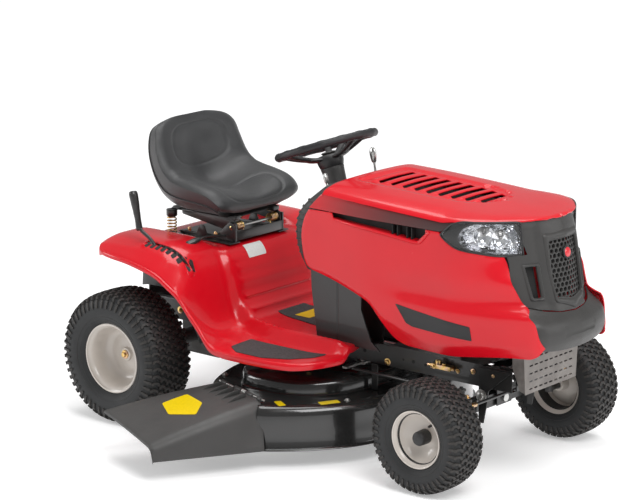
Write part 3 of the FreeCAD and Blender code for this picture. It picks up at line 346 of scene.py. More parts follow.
def curve_at(table, value):
    """Piecewise smooth lookup: table is [(input, output), ...] in rising order."""
    if value <= table[0][0]:
        return table[0][1]
    if value >= table[-1][0]:
        return table[-1][1]
    for (a, low), (b, high) in zip(table, table[1:]):
        if a <= value <= b:
            index = table.index((a, low))
            share = (value - a) / (b - a)
            before = table[index - 1] if index else (a - (b - a), low)
            after = table[index + 2] if index + 2 < len(table) else (b + (b - a), high)
            start = (high - before[1]) / (b - before[0]) * (b - a)
            finish = (after[1] - low) / (after[0] - a) * (b - a)
            if (high - low) * start <= 0:
                start = 0
            if (high - low) * finish <= 0:
                finish = 0
            limit = 3 * abs(high - low)
            start = max(-limit, min(limit, start))
            finish = max(-limit, min(limit, finish))
            s2, s3 = share * share, share ** 3
            return (low * (2 * s3 - 3 * s2 + 1) + start * (s3 - 2 * s2 + share)
                    + high * (3 * s2 - 2 * s3) + finish * (s3 - s2))
    return table[-1][1]


def smooth(share):
    share = max(0.0, min(1.0, share))
    return share * share * (3 - 2 * share)


def rounded(points, radius, steps=4, closed=False):
    """A path with its corners rounded off."""
    points = [Vector(p) for p in points]
    out = []
    for index, spot in enumerate(points):
        if not closed and index in (0, len(points) - 1):
            out.append(spot)
            continue
        before, after = points[index - 1], points[(index + 1) % len(points)]
        back, ahead = before - spot, after - spot
        reach = min(radius, back.length * 0.45, ahead.length * 0.45)
        start, end = spot + back.normalized() * reach, spot + ahead.normalized() * reach
        for step in range(steps + 1):
            t = step / steps
            out.append(start * (1 - t) ** 2 + spot * 2 * t * (1 - t) + end * t * t)
    return out


class Shape:
    """Collects the points and faces of one piece."""

    def __init__(self):
        self.points = []
        self.faces = []
        self.tones = []

    def add(self, points, faces, tone=0):
        first = len(self.points)
        self.points += [Vector(p) for p in points]
        self.faces += [[first + i for i in face] for face in faces]
        self.tones += [tone] * len(faces)
        return self

    def grid(self, rows, wrap=False, loop=False, caps=False, tone=0):
        """Quads between rows of equal length; wrap closes each row, loop joins last row to first."""
        width = len(rows[0])
        points = [p for row in rows for p in row]
        faces = []
        for r in range(len(rows) if loop else len(rows) - 1):
            for c in range(width if wrap else width - 1):
                a, b = r * width + c, r * width + (c + 1) % width
                below = ((r + 1) % len(rows)) * width
                faces.append([a, b, below + (c + 1) % width, below + c])
        if caps:
            faces.append(list(range(width))[::-1])
            faces.append([(len(rows) - 1) * width + c for c in range(width)])
        return self.add(points, faces, tone)

    def lathe(self, profile, centre, axis="X", sides=64, sign=1, tone=0, closed=False):
        """A turned shape; profile is (along the axis, radius)."""
        centre = Vector(centre)
        ahead, one, two = {"X": ((1, 0, 0), (0, 1, 0), (0, 0, 1)), "Y": ((0, 1, 0), (0, 0, 1), (1, 0, 0)),
                           "Z": ((0, 0, 1), (1, 0, 0), (0, 1, 0))}.get(axis) or frame_of(axis)
        ahead, one, two = Vector(ahead), Vector(one), Vector(two)
        rows = []
        for along, radius in profile:
            rows.append([centre + ahead * along * sign + one * radius * math.cos(2 * math.pi * k / sides)
                         + two * radius * math.sin(2 * math.pi * k / sides) for k in range(sides)])
        return self.grid(rows, wrap=True, loop=closed, caps=not closed, tone=tone)

    def tube(self, path, radius, sides=12, caps=True, flat=1.0, up=(0, 0, 1), closed=False, tone=0):
        """A round (or flattened) bar along a path; radius is a number or one per point."""
        path = [Vector(p) for p in path]
        rows = []
        side = None
        for index, spot in enumerate(path):
            before = path[index - 1] if index or closed else spot
            after = path[(index + 1) % len(path)] if index + 1 < len(path) or closed else spot
            ahead = (after - before).normalized()
            if side is None:
                guide = Vector(up)
                if abs(ahead.dot(guide)) > 0.95:
                    guide = Vector((1, 0, 0))
                side = ahead.cross(guide).normalized()
            side = (side - ahead * side.dot(ahead)).normalized()
            lift = side.cross(ahead)
            size = radius[index] if isinstance(radius, (list, tuple)) else radius
            rows.append([spot + side * size * math.cos(2 * math.pi * k / sides)
                         + lift * size * flat * math.sin(2 * math.pi * k / sides) for k in range(sides)])
        return self.grid(rows, wrap=True, loop=closed, caps=caps and not closed, tone=tone)

    def slab(self, outline, low, high, axis="Z", tone=0):
        """A flat outline pushed through from low to high along an axis."""
        def spot(a, b, c):
            return {"X": (c, a, b), "Y": (a, c, b), "Z": (a, b, c)}[axis]
        rows = [[spot(p[0], p[1], level) for p in outline] for level in (low, high)]
        return self.grid(rows, wrap=True, caps=True, tone=tone)

    def box(self, low, high, tone=0):
        return self.slab([(low[0], low[1]), (high[0], low[1]), (high[0], high[1]), (low[0], high[1])],
                         low[2], high[2], tone=tone)

    def mirrored(self):
        """Adds the same shape on the other side of the centreline."""
        points = [Vector((-p.x, p.y, p.z)) for p in self.points]
        faces = [face[::-1] for face in self.faces]
        tones = list(self.tones)
        self.add(points, faces)
        self.tones[-len(tones):] = tones
        return self

    def include(self, other):
        tones = list(other.tones)
        self.add(other.points, other.faces)
        if tones:
            self.tones[-len(tones):] = tones
        return self


def frame_of(axis):
    ahead = Vector(axis).normalized()
    one = ahead.cross(Vector((0, 0, 1)))
    if one.length < 0.05:
        one = ahead.cross(Vector((1, 0, 0)))
    one.normalize()
    return ahead, one, ahead.cross(one)


def mark_edges(data, degrees):
    """Smooth faces, with edges sharper than an angle kept crisp."""
    work = bmesh.new()
    work.from_mesh(data)
    limit = math.radians(degrees)
    for edge in work.edges:
        edge.smooth = len(edge.link_faces) == 2 and edge.calc_face_angle(0) < limit
    for face in work.faces:
        face.smooth = True
    work.to_mesh(data)
    work.free()


def bake(obj):
    """Apply the modifiers of a piece to its mesh."""
    graph = bpy.context.evaluated_depsgraph_get()
    data = bpy.data.meshes.new_from_object(obj.evaluated_get(graph))
    obj.modifiers.clear()
    old = obj.data
    obj.data = data
    bpy.data.meshes.remove(old)


def raw(name, shape):
    """A bare object from a shape, in metres."""
    data = bpy.data.meshes.new(name)
    data.from_pydata([p * MM for p in shape.points], [], shape.faces)
    data.polygons.foreach_set("material_index", shape.tones)
    data.validate()
    work = bmesh.new()
    work.from_mesh(data)
    bmesh.ops.remove_doubles(work, verts=work.verts, dist=0.00001)
    bmesh.ops.dissolve_degenerate(work, dist=0.00001, edges=work.edges)
    bmesh.ops.recalc_face_normals(work, faces=work.faces)
    work.to_mesh(data)
    work.free()
    obj = bpy.data.objects.new(name, data)
    scene.collection.objects.link(obj)
    return obj


def carve(obj, cutter, operation="DIFFERENCE"):
    """Cut a shape out of a piece."""
    tool = raw("cutter", cutter)
    knife = obj.modifiers.new("Cut", "BOOLEAN")
    knife.operation = operation
    knife.object = tool
    knife.solver = "EXACT"
    bpy.context.view_layer.update()
    bake(obj)
    bpy.data.objects.remove(tool)
    return obj


def finish(obj, body, materials, slot=None, bevel=0.0, segments=2, subdivide=0, angle=32, thick=0.0,
           replaces=(), cuts=()):
    """Round, smooth, paint and hang a piece on its body."""
    obj.data.materials.clear()
    for material in materials if isinstance(materials, (list, tuple)) else [materials]:
        obj.data.materials.append(material)
    if thick:
        wall = obj.modifiers.new("Wall", "SOLIDIFY")
        wall.thickness = thick * MM
        wall.offset = -1
        wall.use_even_offset = True
        bake(obj)
    for cutter in cuts:
        carve(obj, cutter)
    if subdivide:
        fine = obj.modifiers.new("Fine", "SUBSURF")
        fine.levels = fine.render_levels = subdivide
    if bevel:
        edge = obj.modifiers.new("Edge", "BEVEL")
        edge.width = bevel * MM
        edge.segments = segments
        edge.limit_method = "ANGLE"
        edge.angle_limit = math.radians(angle)
        edge.use_clamp_overlap = True
        edge.harden_normals = False
    if subdivide or bevel:
        bake(obj)
    mark_edges(obj.data, angle if not bevel else max(angle, 40))
    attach(obj, body)
    if replaces:
        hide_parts(*replaces)
    return obj


def piece(name, shape, body, materials, **settings):
    return finish(raw(name, shape), body, materials, **settings)


def keep(node, material, bevel=0.0, angle=32):
    """A CAD node that stays: its edges rounded, its material detailed."""
    obj = frame["nodes"][node]
    obj.data.materials.clear()
    obj.data.materials.append(material)
    if bevel:
        weld = obj.modifiers.new("Weld", "WELD")
        weld.merge_threshold = 0.00002
        edge = obj.modifiers.new("Edge", "BEVEL")
        edge.width = bevel * MM
        edge.segments = 2
        edge.limit_method = "ANGLE"
        edge.angle_limit = math.radians(angle)
    return obj


# ---------------------------------------------------------------- wheels

CARCASS = [(0, 1), (0.3, 0.996), (0.6, 0.977), (0.78, 0.935), (0.9, 0.85), (0.97, 0.72), (1, 0.52),
           (0.98, 0.36), (0.91, 0.21), (0.82, 0.11), (0.75, 0.065), (0.66, 0), (0.62, -0.07)]
REAR_BACK, FRONT_BACK = 625, -625
REAR_ACROSS, FRONT_ACROSS = 415, 375
REAR_HIGH, FRONT_HIGH = 227, 179
FINE_TURN, FRONT_TURN = 144, 128


def half_profile(half, tread, bead):
    """One side of a tyre's section, from the middle of the tread to the bead."""
    points = [(share * half, bead + (tread - bead) * rise) for share, rise in CARCASS]
    return [(p.x, p.y) for p in spline([(a, r, 0) for a, r in points], 4)]


class Drape:
    """Finds points on and above a tyre's section by the distance from its middle."""

    def __init__(self, profile):
        self.profile = [Vector((a, r, 0)) for a, r in profile]
        self.marks = [0.0]
        for one, two in zip(self.profile, self.profile[1:]):
            self.marks.append(self.marks[-1] + (two - one).length)

    def at(self, distance, height):
        side = -1 if distance < 0 else 1
        reach = min(abs(distance), self.marks[-1] - 0.01)
        index = next(i for i, mark in enumerate(self.marks[1:]) if mark > reach)
        one, two = self.profile[index], self.profile[index + 1]
        share = (reach - self.marks[index]) / (self.marks[index + 1] - self.marks[index])
        along = (two - one).normalized()
        spot = one.lerp(two, share) + Vector((-along.y, along.x, 0)) * height
        return side * spot.x, spot.y


def block(shape, drape, centre, radius, across, around, stations, height, tone=0):
    """One tread block: stations are (offset across, edge behind, edge ahead)."""
    rows = []
    for offset, behind, ahead in stations:
        row = []
        for edge, rise in ((behind, -2.0), (behind + 0.7, height), (ahead - 0.7, height), (ahead, -2.0)):
            a, r = drape.at(across + offset, rise)
            turn = (around + edge) / radius
            row.append(centre + Vector((a, r * math.cos(turn), r * math.sin(turn))))
        rows.append(row)
    shape.grid(rows, wrap=True, caps=True, tone=tone)


CHEVRON = [(-12.6, -1, 7.2), (-7, -5.4, 7), (-4, -7, 2.2), (4, -7, 2.2), (7, -5.4, 7), (12.6, -1, 7.2)]
SHOULDER = [(0, -5.5, 5.5), (9, -5.5, 5.5), (18, -5, 5), (27, -4, 4)]


def tyre(name, node, body, centre, half, tread, bead, height, rows, columns, pitch, lug_start):
    centre = Vector(centre)
    side = half_profile(half, tread, bead)
    section = [(-a, r) for a, r in side[::-1]] + side[1:]
    shape = Shape().lathe(section, centre, "X", FINE_TURN, closed=True)
    for ring, wide in ((0.80, 0.8), (0.66, 0.6), (0.33, 0.9), (0.2, 0.7)):
        spot = min(side[len(side) // 3:], key=lambda p: abs(p[1] - (bead + (tread - bead) * ring)))
        for flip in (-1, 1):
            around = [centre + Vector((flip * spot[0], spot[1] * math.cos(t), spot[1] * math.sin(t)))
                      for t in (2 * math.pi * k / FINE_TURN for k in range(FINE_TURN))]
            shape.tube(around, wide, 6, closed=True)
    drape = Drape(side)
    step = 2 * math.pi * tread / rows
    for row in range(rows):
        for column in range(columns):
            across = (column - (columns - 1) / 2) * pitch
            shift = step / 2 if column % 2 else 0
            block(shape, drape, centre, tread, across, row * step + shift, CHEVRON, height, 1)
        for flip in (-1, 1):
            stations = [(flip * (lug_start + a), b, c) for a, b, c in SHOULDER]
            rise = height * 0.55
            block(shape, drape, centre, tread, 0, row * step + (0 if row % 2 else 0.6), stations, rise, 1)
    return piece(name, shape, body, [TYRE, TREAD], slot="tyre_rubber", angle=38, replaces=(node,))


# A pressed wheel's section: the outward face, then the hidden side back to the start.
REAR_FACE = [(76.5, 113), (78, 118), (76.5, 120.3), (73.5, 119.5), (70, 113), (66, 107), (58, 103.5),
             (45, 101),
             (25, 98.5), (8, 93), (-1, 82), (-5, 70), (-3, 62), (-2, 40), (-2, 24), (8, 22), (8, 12)]
REAR_HIDDEN = [(-24, 12), (-24, 22), (-5, 24), (-5, 40), (-6, 62), (-9, 72), (-9, 88), (-15, 98), (-40, 101),
               (-58, 103.5), (-66, 107), (-70, 113), (-73.5, 119.5), (-76, 120.3), (-74, 121), (-68, 117),
               (-64, 110), (-56, 107), (0, 104), (56, 107), (64, 110), (68, 117), (74, 121)]
FRONT_FACE = [(59.5, 88), (61, 91.5), (59.5, 93.2), (57, 92), (54, 87), (48, 83), (40, 80), (28, 74),
              (16, 64), (7, 50), (2, 36), (1, 24), (10, 22), (10, 11)]
FRONT_HIDDEN = [(-40, 11), (-40, 20), (-6, 22), (-4, 36), (0, 52), (8, 66), (14, 76), (-10, 80), (-40, 81),
                (-50, 84), (-56, 92), (-59, 93.2), (-57, 94), (-50, 88), (-40, 84), (0, 82), (30, 82),
                (46, 86), (54, 93.5)]


def hexagon(radius, turn=0.0):
    return [(radius * math.cos(math.radians(60 * k + turn)), radius * math.sin(math.radians(60 * k + turn)))
            for k in range(6)]


def bolt_head(shape, spot, axis, radius, height, tone=0, washer=1.5):
    """Washer, hexagon head and a shallow dome, standing on a spot along an axis."""
    ahead, one, two = frame_of(axis)
    spot = Vector(spot)
    if washer:
        shape.lathe([(0, radius * 0.3), (0, radius * 1.55), (washer, radius * 1.55), (washer, radius * 0.3)],
                    spot, axis, 28, tone=tone)
    rows = []
    for along, share in ((washer, 0.96), (washer + 0.4, 1.0), (washer + height * 0.85, 1.0),
                         (washer + height, 0.86)):
        rows.append([spot + ahead * along + (one * a + two * b) * share for a, b in hexagon(radius)])
    shape.grid(rows, wrap=True, caps=True, tone=tone)
    return shape


def rear_wheel(word, side):
    centre = (side * REAR_ACROSS, REAR_BACK, REAR_HIGH)
    body = "rear_wheel_" + word
    tyre("tyre_rear_" + word, "rear_tyre_" + word, body, centre, half=96.3, tread=219, bead=112, height=8.0,
         rows=52, columns=7, pitch=26.0, lug_start=92)
    rim = Shape().lathe(REAR_FACE + REAR_HIDDEN, centre, "X", FINE_TURN, side, closed=True)
    piece("wheel_rear_" + word, rim, body, RIM, slot="rim_paint", bevel=0.8, angle=40,
          replaces=("rear_rim_" + word,))
    shaft = Shape().lathe([(0, 0.1), (0, 12), (354, 12), (356, 9.5), (356, 0.1)],
                          (side * 58, REAR_BACK, REAR_HIGH), "X", 40, side)
    piece("axle_rear_" + word, shaft, body, STEEL, replaces=("rear_axle_shaft_" + word,))
    hub = Shape().lathe([(8, 2), (8, 15), (11, 15), (11, 2)], centre, "X", 40, side)
    bolt_head(hub, Vector(centre) + Vector((side * 11, 0, 0)), (side, 0, 0), 9, 8)
    piece("hub_bolt_" + word, hub, body, YELLOW_ZINC, bevel=0.4)
    valve(body, centre, side, 88, 6)


def valve(body, centre, side, radius, reach):
    """Rubber tyre valve with its cap, leaning out of the rim."""
    turn = math.radians(128)
    foot = Vector(centre) + Vector((side * reach, radius * math.cos(turn), radius * math.sin(turn)))
    lean = Vector((side * 0.93, -0.36 * math.cos(turn), -0.36 * math.sin(turn)))
    stem = Shape().lathe([(-4, 2), (-4, 7.5), (2, 7.5), (5, 4.6), (20, 4.2), (20.5, 3)], foot, tuple(lean),
                         24)
    stem.lathe([(19, 2), (19, 4.4), (31, 4.2), (32, 3.2), (32, 1)], foot, tuple(lean), 24)
    piece("valve_" + body, stem, body, BLACK_PLASTIC, bevel=0.3)


def front_wheel(word, side):
    centre = (side * FRONT_ACROSS, FRONT_BACK, FRONT_HIGH)
    body = "front_wheel_" + word
    tyre("tyre_front_" + word, "front_tyre_" + word, body, centre, half=70.5, tread=173, bead=85, height=6.0,
         rows=44, columns=6, pitch=23.5, lug_start=64)
    rim = Shape().lathe(FRONT_FACE + FRONT_HIDDEN, centre, "X", FRONT_TURN, side, closed=True)
    piece("wheel_front_" + word, rim, body, RIM, slot="rim_paint", bevel=0.8, angle=40,
          replaces=("front_rim_" + word,))
    cap = Shape().lathe([(4, 22.5), (10, 24), (30, 23.4), (44, 22.6), (48, 20.5), (50.5, 15), (51.6, 8),
                         (52, 0.5),
                         (49, 0.4), (49, 20), (4, 21)], centre, "X", 72, side)
    piece("hub_cap_" + word, cap, body, BLACK_PLASTIC, bevel=0.6)
    valve(body, centre, side, 66, 8)


for WORD, SIDE in (("right", -1), ("left", 1)):
    rear_wheel(WORD, SIDE)
    front_wheel(WORD, SIDE)


# ---------------------------------------------------------------- pressed and moulded skins

def inside(outline, spot):
    """True if a point lies inside a flat outline."""
    hit = False
    for (ax, ay), (bx, by) in zip(outline, outline[1:] + outline[:1]):
        if (ay > spot[1]) != (by > spot[1]) and spot[0] < (bx - ax) * (spot[1] - ay) / (by - ay) + ax:
            hit = not hit
    return hit


def near(lines, spot, reach):
    """True if a point is closer than reach to any of the lines."""
    for line in lines:
        for (ax, ay), (bx, by) in zip(line, line[1:]):
            if min(ax, bx) - reach > spot[0] or max(ax, bx) + reach < spot[0]:
                continue
            if min(ay, by) - reach > spot[1] or max(ay, by) + reach < spot[1]:
                continue
            dx, dy = bx - ax, by - ay
            size = dx * dx + dy * dy
            share = max(0.0, min(1.0, ((spot[0] - ax) * dx + (spot[1] - ay) * dy) / size)) if size else 0.0
            if math.hypot(ax + dx * share - spot[0], ay + dy * share - spot[1]) < reach:
                return True
    return False


def even(line, step, closed=False):
    """A flat line with points no further apart than step; its own corners stay."""
    out = []
    pairs = list(zip(line, line[1:] + line[:1])) if closed else list(zip(line, line[1:]))
    for (ax, ay), (bx, by) in pairs:
        count = max(1, int(math.ceil(math.hypot(bx - ax, by - ay) / step)))
        out += [(ax + (bx - ax) * k / count, ay + (by - ay) * k / count) for k in range(count)]
    if not closed:
        out.append(tuple(line[-1]))
    return out


def flat(points):
    return [(p[0], p[1]) for p in points]


def curve(points, steps=6, closed=False):
    """Smooth flat curve through flat points."""
    return flat(spline([(a, b, 0) for a, b in points], steps, closed))


def soft(points, radius, steps=4, closed=True):
    """Flat outline with rounded corners."""
    return flat(rounded([(a, b, 0) for a, b in points], radius, steps, closed))


def skin(outline, step, lift, depth, outward, holes=(), lines=(), tone=0):
    """A sheet of even thickness over a flat outline, bent into space by lift(a, b)."""
    outline = even(outline, step, True)
    holes = [even(hole, step, True) for hole in holes]
    lines = [even(line, step) for line in lines]
    points, edges = [], []
    for loop in [outline] + holes:
        first = len(points)
        points += loop
        edges += [(first + k, first + (k + 1) % len(loop)) for k in range(len(loop))]
    for line in lines:
        first = len(points)
        points += line
        edges += [(first + k, first + k + 1) for k in range(len(line) - 1)]
    borders = [loop + loop[:1] for loop in [outline] + holes] + lines
    low = [min(p[i] for p in outline) for i in (0, 1)]
    high = [max(p[i] for p in outline) for i in (0, 1)]
    row = 0
    b = low[1] + step / 2
    while b < high[1]:
        a = low[0] + step / 2 + (step / 2 if row % 2 else 0)
        while a < high[0]:
            if inside(outline, (a, b)) and not near(borders, (a, b), step * 0.55):
                points.append((a, b))
            a += step
        b += step * 0.87
        row += 1
    verts, _, faces, *_ = delaunay_2d_cdt([Vector(p) for p in points], edges, [], 0, 0.001)
    kept = []
    for face in faces:
        middle = sum((verts[i] for i in face), Vector((0, 0))) / len(face)
        if inside(outline, middle) and not any(inside(hole, middle) for hole in holes):
            kept.append(list(face))
    return thicken([lift(v.x, v.y) for v in verts], kept, depth, outward, tone)


def thicken(points, faces, depth, outward, tone=0):
    """Closes an open sheet into a wall of even depth behind it."""
    points = [Vector(p) for p in points]
    normals = [Vector((0, 0, 0)) for _ in points]
    total = Vector((0, 0, 0))
    for face in faces:
        a, b, c = (points[i] for i in face[:3])
        across = (b - a).cross(c - a)
        total += across
        for i in face:
            normals[i] += across
    if total.dot(Vector(outward)) < 0:
        faces = [face[::-1] for face in faces]
        normals = [-n for n in normals]
    count = len(points)
    back = [p - (n.normalized() * depth if n.length else Vector((0, 0, 0))) for p, n in zip(points, normals)]
    rims = {}
    for face in faces:
        for i, j in zip(face, face[1:] + face[:1]):
            if (j, i) in rims:
                del rims[(j, i)]
            else:
                rims[(i, j)] = True
    sides = [[j, i, i + count, j + count] for i, j in rims]
    return Shape().add(points + back, faces + [[i + count for i in face[::-1]] for face in faces] + sides,
                       tone)


def wall(rows, depth, outward):
    """A wall of even depth behind the sheet that runs through rows of points."""
    sheet = Shape().grid(rows)
    return thicken(sheet.points, sheet.faces, depth, outward)


def ring(outer, inner, lift, depth, outward, rise=4.0, tone=0, steps=3):
    """A raised moulding between two loops of equal length, crowned in the middle."""
    rows = []
    for k in range(steps * 2 + 1):
        share = k / (steps * 2)
        up = rise * math.sin(math.pi * share) ** 0.6 if 0 < share < 1 else 0.0
        rows.append([Vector(lift(a + (c - a) * share, b + (d - b) * share)) + Vector(outward) * up
                     for (a, b), (c, d) in zip(outer, inner)])
    rows.append([p - Vector(outward) * depth for p in rows[-1]])
    rows.append([p - Vector(outward) * depth for p in rows[0]])
    return Shape().grid(rows, wrap=True, loop=True, tone=tone)


# ---------------------------------------------------------------- hood

UPPER = [(-860, 0), (-850, 60), (-830, 110), (-800, 158), (-770, 196), (-740, 222), (-700, 243), (-660, 254),
         (-620, 260), (-570, 262), (-300, 266.6), (0, 250)]
MIDDLE = [(-914, 0), (-900, 50), (-876, 120), (-852, 163), (-815, 190), (-760, 222), (-700, 246), (-620, 262),
          (-570, 263), (-300, 266.6), (0, 250)]
LOWER = [(-944, 0), (-935, 100), (-920, 160), (-900, 186), (-870, 203), (-800, 226), (-700, 248), (-620, 262),
         (-570, 264), (-300, 266.6), (0, 250)]
TUCK = [(-960, 440), (-826, 462), (-557, 437), (-358, 490), (-297, 539), (-100, 600)]
CROWN = [(-860, 850), (-744, 861), (-620, 869), (-300, 885), (-100, 893), (0, 896)]
EDGE_DROP = [(-860, 5), (-790, 13), (-700, 21), (-640, 30), (-580, 40), (0, 40)]
DOME = [(0, 0), (0.5, 0.10), (0.75, 0.25), (0.87, 0.45), (0.94, 0.63), (0.985, 0.83), (1.0, 1.0)]


def hood_half(y, z):
    """Half width of the hood at a point of its side."""
    low, mid, top = curve_at(LOWER, y), curve_at(MIDDLE, y), curve_at(UPPER, y)
    if z < 594:
        width = low + (mid - low) * smooth((z - 560) / 34)
    else:
        width = mid + (top - mid) * smooth((z - 650) / 90)
    hollow = 7 * math.exp(-((z - 598) / 34) ** 2) * smooth((-y - 300) / 160) * smooth((y + 850) / 120)
    crest = 3 * math.exp(-((z - 545) / 22) ** 2) * smooth((-y - 380) / 120) * smooth((y + 880) / 100)
    under = max(0.0, curve_at(TUCK, y) - z)
    return min(width, 266.6) - hollow + min(crest, 266.6 - width + hollow) - under * 0.30


def hood_top(x, y):
    """Height of the hood's top at a point in plan."""
    width = max(1.0, curve_at(UPPER, y))
    return curve_at(CROWN, y) - curve_at(EDGE_DROP, y) * curve_at(DOME, min(1.0, abs(x) / width))


def side_point(y, z):
    return Vector((-hood_half(y, z), y, z))


SEAM_LOW, SEAM_HIGH = 798.8, 800.2
REAR_EDGE = [(-60, 596), (-33, 613), (-18, 655), (-13, 714), (-26, 765), (-45, 795)]
BOTTOM_EDGE = [(-918, 464), (-905, 440), (-883, 428), (-812, 427), (-632, 407), (-439, 411), (-395, 427),
               (-342, 486), (-305, 529), (-256, 548), (-161, 575), (-60, 596)]
FRONT_EDGE = [(-775, 737), (-805, 664), (-838, 594), (-862, 579), (-896, 543), (-906, 493), (-918, 464)]
LAMP_LOW = [(-583, 792), (-600, 778), (-637, 756), (-707, 747), (-779, 738)]
NOTCH = [(-146, SEAM_LOW), (-152, 782), (-337, 771), (-495, 757), (-527, 787), (-526, SEAM_LOW)]


def hood_side():
    low = [BOTTOM_EDGE[0]] + soft(BOTTOM_EDGE, 26, 4, False)[1:]
    outline = soft(FRONT_EDGE, 12, 3, False)[:-1] + low[:-1] + curve(REAR_EDGE, 5)
    outline += [NOTCH[0]] + soft(NOTCH, 5, 3, False)[1:-1] + [NOTCH[-1], (-578, SEAM_LOW)] + curve(LAMP_LOW,
                                                                                                4)[:-1]
    crease = curve([(-330, 520), (-358, 492), (-440, 452), (-557, 439), (-700, 448), (-826, 463),
                    (-895, 465)], 5)
    return skin(outline, 11, side_point, 3.4, (-1, 0, 0), lines=[crease])


def hood_band():
    """Strip between the seam and the top, behind the headlight."""
    rows = []
    for k in range(61):
        share = k / 60
        row = []
        for level in range(7):
            up = level / 6
            start = -45 - 55 * up
            end = -580 - 62 * up
            y = start + (end - start) * share
            top = curve_at(CROWN, y) - curve_at(EDGE_DROP, y) - 0.8
            z = SEAM_HIGH + (top - SEAM_HIGH) * up
            swell = 1.2 * math.sin(math.pi * up)
            row.append(Vector((-min(curve_at(UPPER, y) - 0.4 + swell, 266.8), y, z)))
        rows.append(row)
    return wall(rows, 3.2, (-1, 0, 0))


SLOTS = [-216, -265, -312, -359, -406, -454, -502, -550, -598]


def louvre_half(y):
    return curve_at([(-650, 34), (-600, 66), (-550, 84), (-480, 96), (-216, 98)], y)


def recess_loop(grow):
    """Outline of the sunken field round the louvres."""
    right = [(-128 - grow, -150 + grow), (-128 - grow, -470), (-112 - grow, -560 - grow),
             (-70 - grow, -622 - grow), (0, -648 - grow)]
    left = [(-a, b) for a, b in right[::-1][1:]]
    return soft(right + left, 26, 5, True)


def top_point(x, y):
    z = hood_top(x, y)
    if inside(RECESS_OUT, (x, y)):
        z -= 6.0 if inside(RECESS_IN, (x, y)) else 0.0
    if abs(x) < louvre_half(y) + 8 and -640 < y < -176:
        pitch = 47.8
        phase = (y + 216) / pitch
        hump = math.cos(math.pi * (phase - round(phase))) ** 2
        ends = smooth((louvre_half(y) + 8 - abs(x)) / 14)
        z += ends * (7.0 * (1 - hump) - 1.0)
    return Vector((x, y, z))


RECESS_OUT = recess_loop(7)
RECESS_IN = recess_loop(-1)


def slot_outline(y, half):
    """A slot leaning forward towards its ends, with rounded corners."""
    return soft([(-half, y - 12), (half, y - 12), (half + 5, y), (half, y + 12), (-half, y + 12),
                 (-half - 5, y)], 5, 3)


def hood_cover():
    shares = [0.995, 0.97, 0.94, 0.90, 0.86]
    ys = [-858.5, -855, -848, -838, -825, -808, -790, -770, -745, -715, -680, -640, -590, -520, -440, -360,
          -280, -200, -150, -104]
    right = [(-curve_at(UPPER, y), y) for y in ys]
    rear = curve([(-curve_at(UPPER, -104), -104), (-210, -112), (-140, -118), (0, -124)], 5)
    outline = right + rear[1:-1] + [(0, -124)] + [(-a, b) for a, b in (right + rear[1:-1])[::-1]]
    lines = []
    for share in shares:
        for flip in (-1, 1):
            lines.append([(flip * share * curve_at(UPPER, y), y) for y in ys[3:-1]])
    lines += [RECESS_OUT + RECESS_OUT[:1], RECESS_IN + RECESS_IN[:1]]
    holes = [slot_outline(y, louvre_half(y) - 8) for y in SLOTS]
    return skin(outline, 9.5, top_point, 3.6, (0, 0, 1), holes=holes, lines=lines)


def band_lip():
    """The rolled lower lip of the long slot under the stripe."""
    rows = []
    for y, z, drop in ((-148, 781.5, 2), (-200, 778, 4), (-260, 774.5, 6), (-337, 770.5, 8),
                       (-420, 763.5, 10),
                       (-470, 759, 12), (-497, 757, 12), (-512, 770, 8), (-526, 786, 4)):
        half = hood_half(y, z)
        rows.append([Vector((-half + 0.6, y, z - 0.5)), Vector((-half + 6, y + 1, z + 0.5)),
                     Vector((-half + 16, y + 2, z + 1)), Vector((-half + 24, y + 2, z + drop * 0.3))])
    lip = wall(rows, 2.0, (-0.3, 0, 1))
    bead = [(-158, 778), (-200, 774.5), (-260, 771), (-337, 766), (-420, 759), (-470, 754.5), (-499, 754),
            (-512, 762), (-530, 782), (-540, 794)]
    path = spline([Vector((-hood_half(y, z) + 0.5, y, z)) for y, z in bead], 5)
    return lip.include(Shape().tube(path, [1 + 4.5 * smooth(k / 9) for k in range(len(path))], 12))


def notch_shade():
    """The dark wall behind the long slot, with its four struts; the wall is painted shade for the shaded
    inside of the hood.
    """
    rows = [[Vector((-hood_half(y, 780) + 24, y, z)) for z in (744, 800)] for y in range(-130, -570, -20)]
    back = wall(rows, 2.0, (-1, 0, 0))
    for y in (-395, -415, -452, -470):
        half = hood_half(y, 780)
        back.box((-half + 4, y - 1.5, 752), (-half + 24, y + 1.5, 797))
    return back


BADGE = [(-412, 545), (-470, 538), (-691, 512), (-699, 468), (-600, 474), (-480, 481), (-455, 489)]


def badge_plate():
    """Blank dark plate let into the side of the hood."""
    outline = soft(BADGE, 4, 3)
    return skin(outline, 12, lambda y, z: side_point(y, z) + Vector((-1.2, 0, 0)), 2.0, (-1, 0, 0))


side = hood_side()
piece("hood_side_right", side, "hood_group", RED, slot="body_red", bevel=0.9, segments=2, angle=50,
      replaces=("hood",))
mirror = Shape()
mirror.add([(-p.x, p.y, p.z) for p in side.points], [f[::-1] for f in side.faces])
piece("hood_side_left", mirror, "hood_group", RED, slot="body_red", bevel=0.9, segments=2, angle=50)
piece("hood_cover", hood_cover(), "hood_group", RED, slot="body_red", bevel=0.8, segments=2, angle=50)
piece("hood_band_strips", hood_band().mirrored(), "hood_group", STRIPE, bevel=0.7, segments=2, angle=50)
piece("hood_slot_lips", band_lip().mirrored(), "hood_group", RED, slot="body_red", bevel=0.6, angle=50)
piece("hood_slot_shade", notch_shade().mirrored(), "hood_group", BLACK_AND_PAINTED_SHADE, angle=50)
piece("hood_plates", badge_plate().mirrored(), "hood_group", BLACK_PLASTIC, bevel=0.5, angle=50)
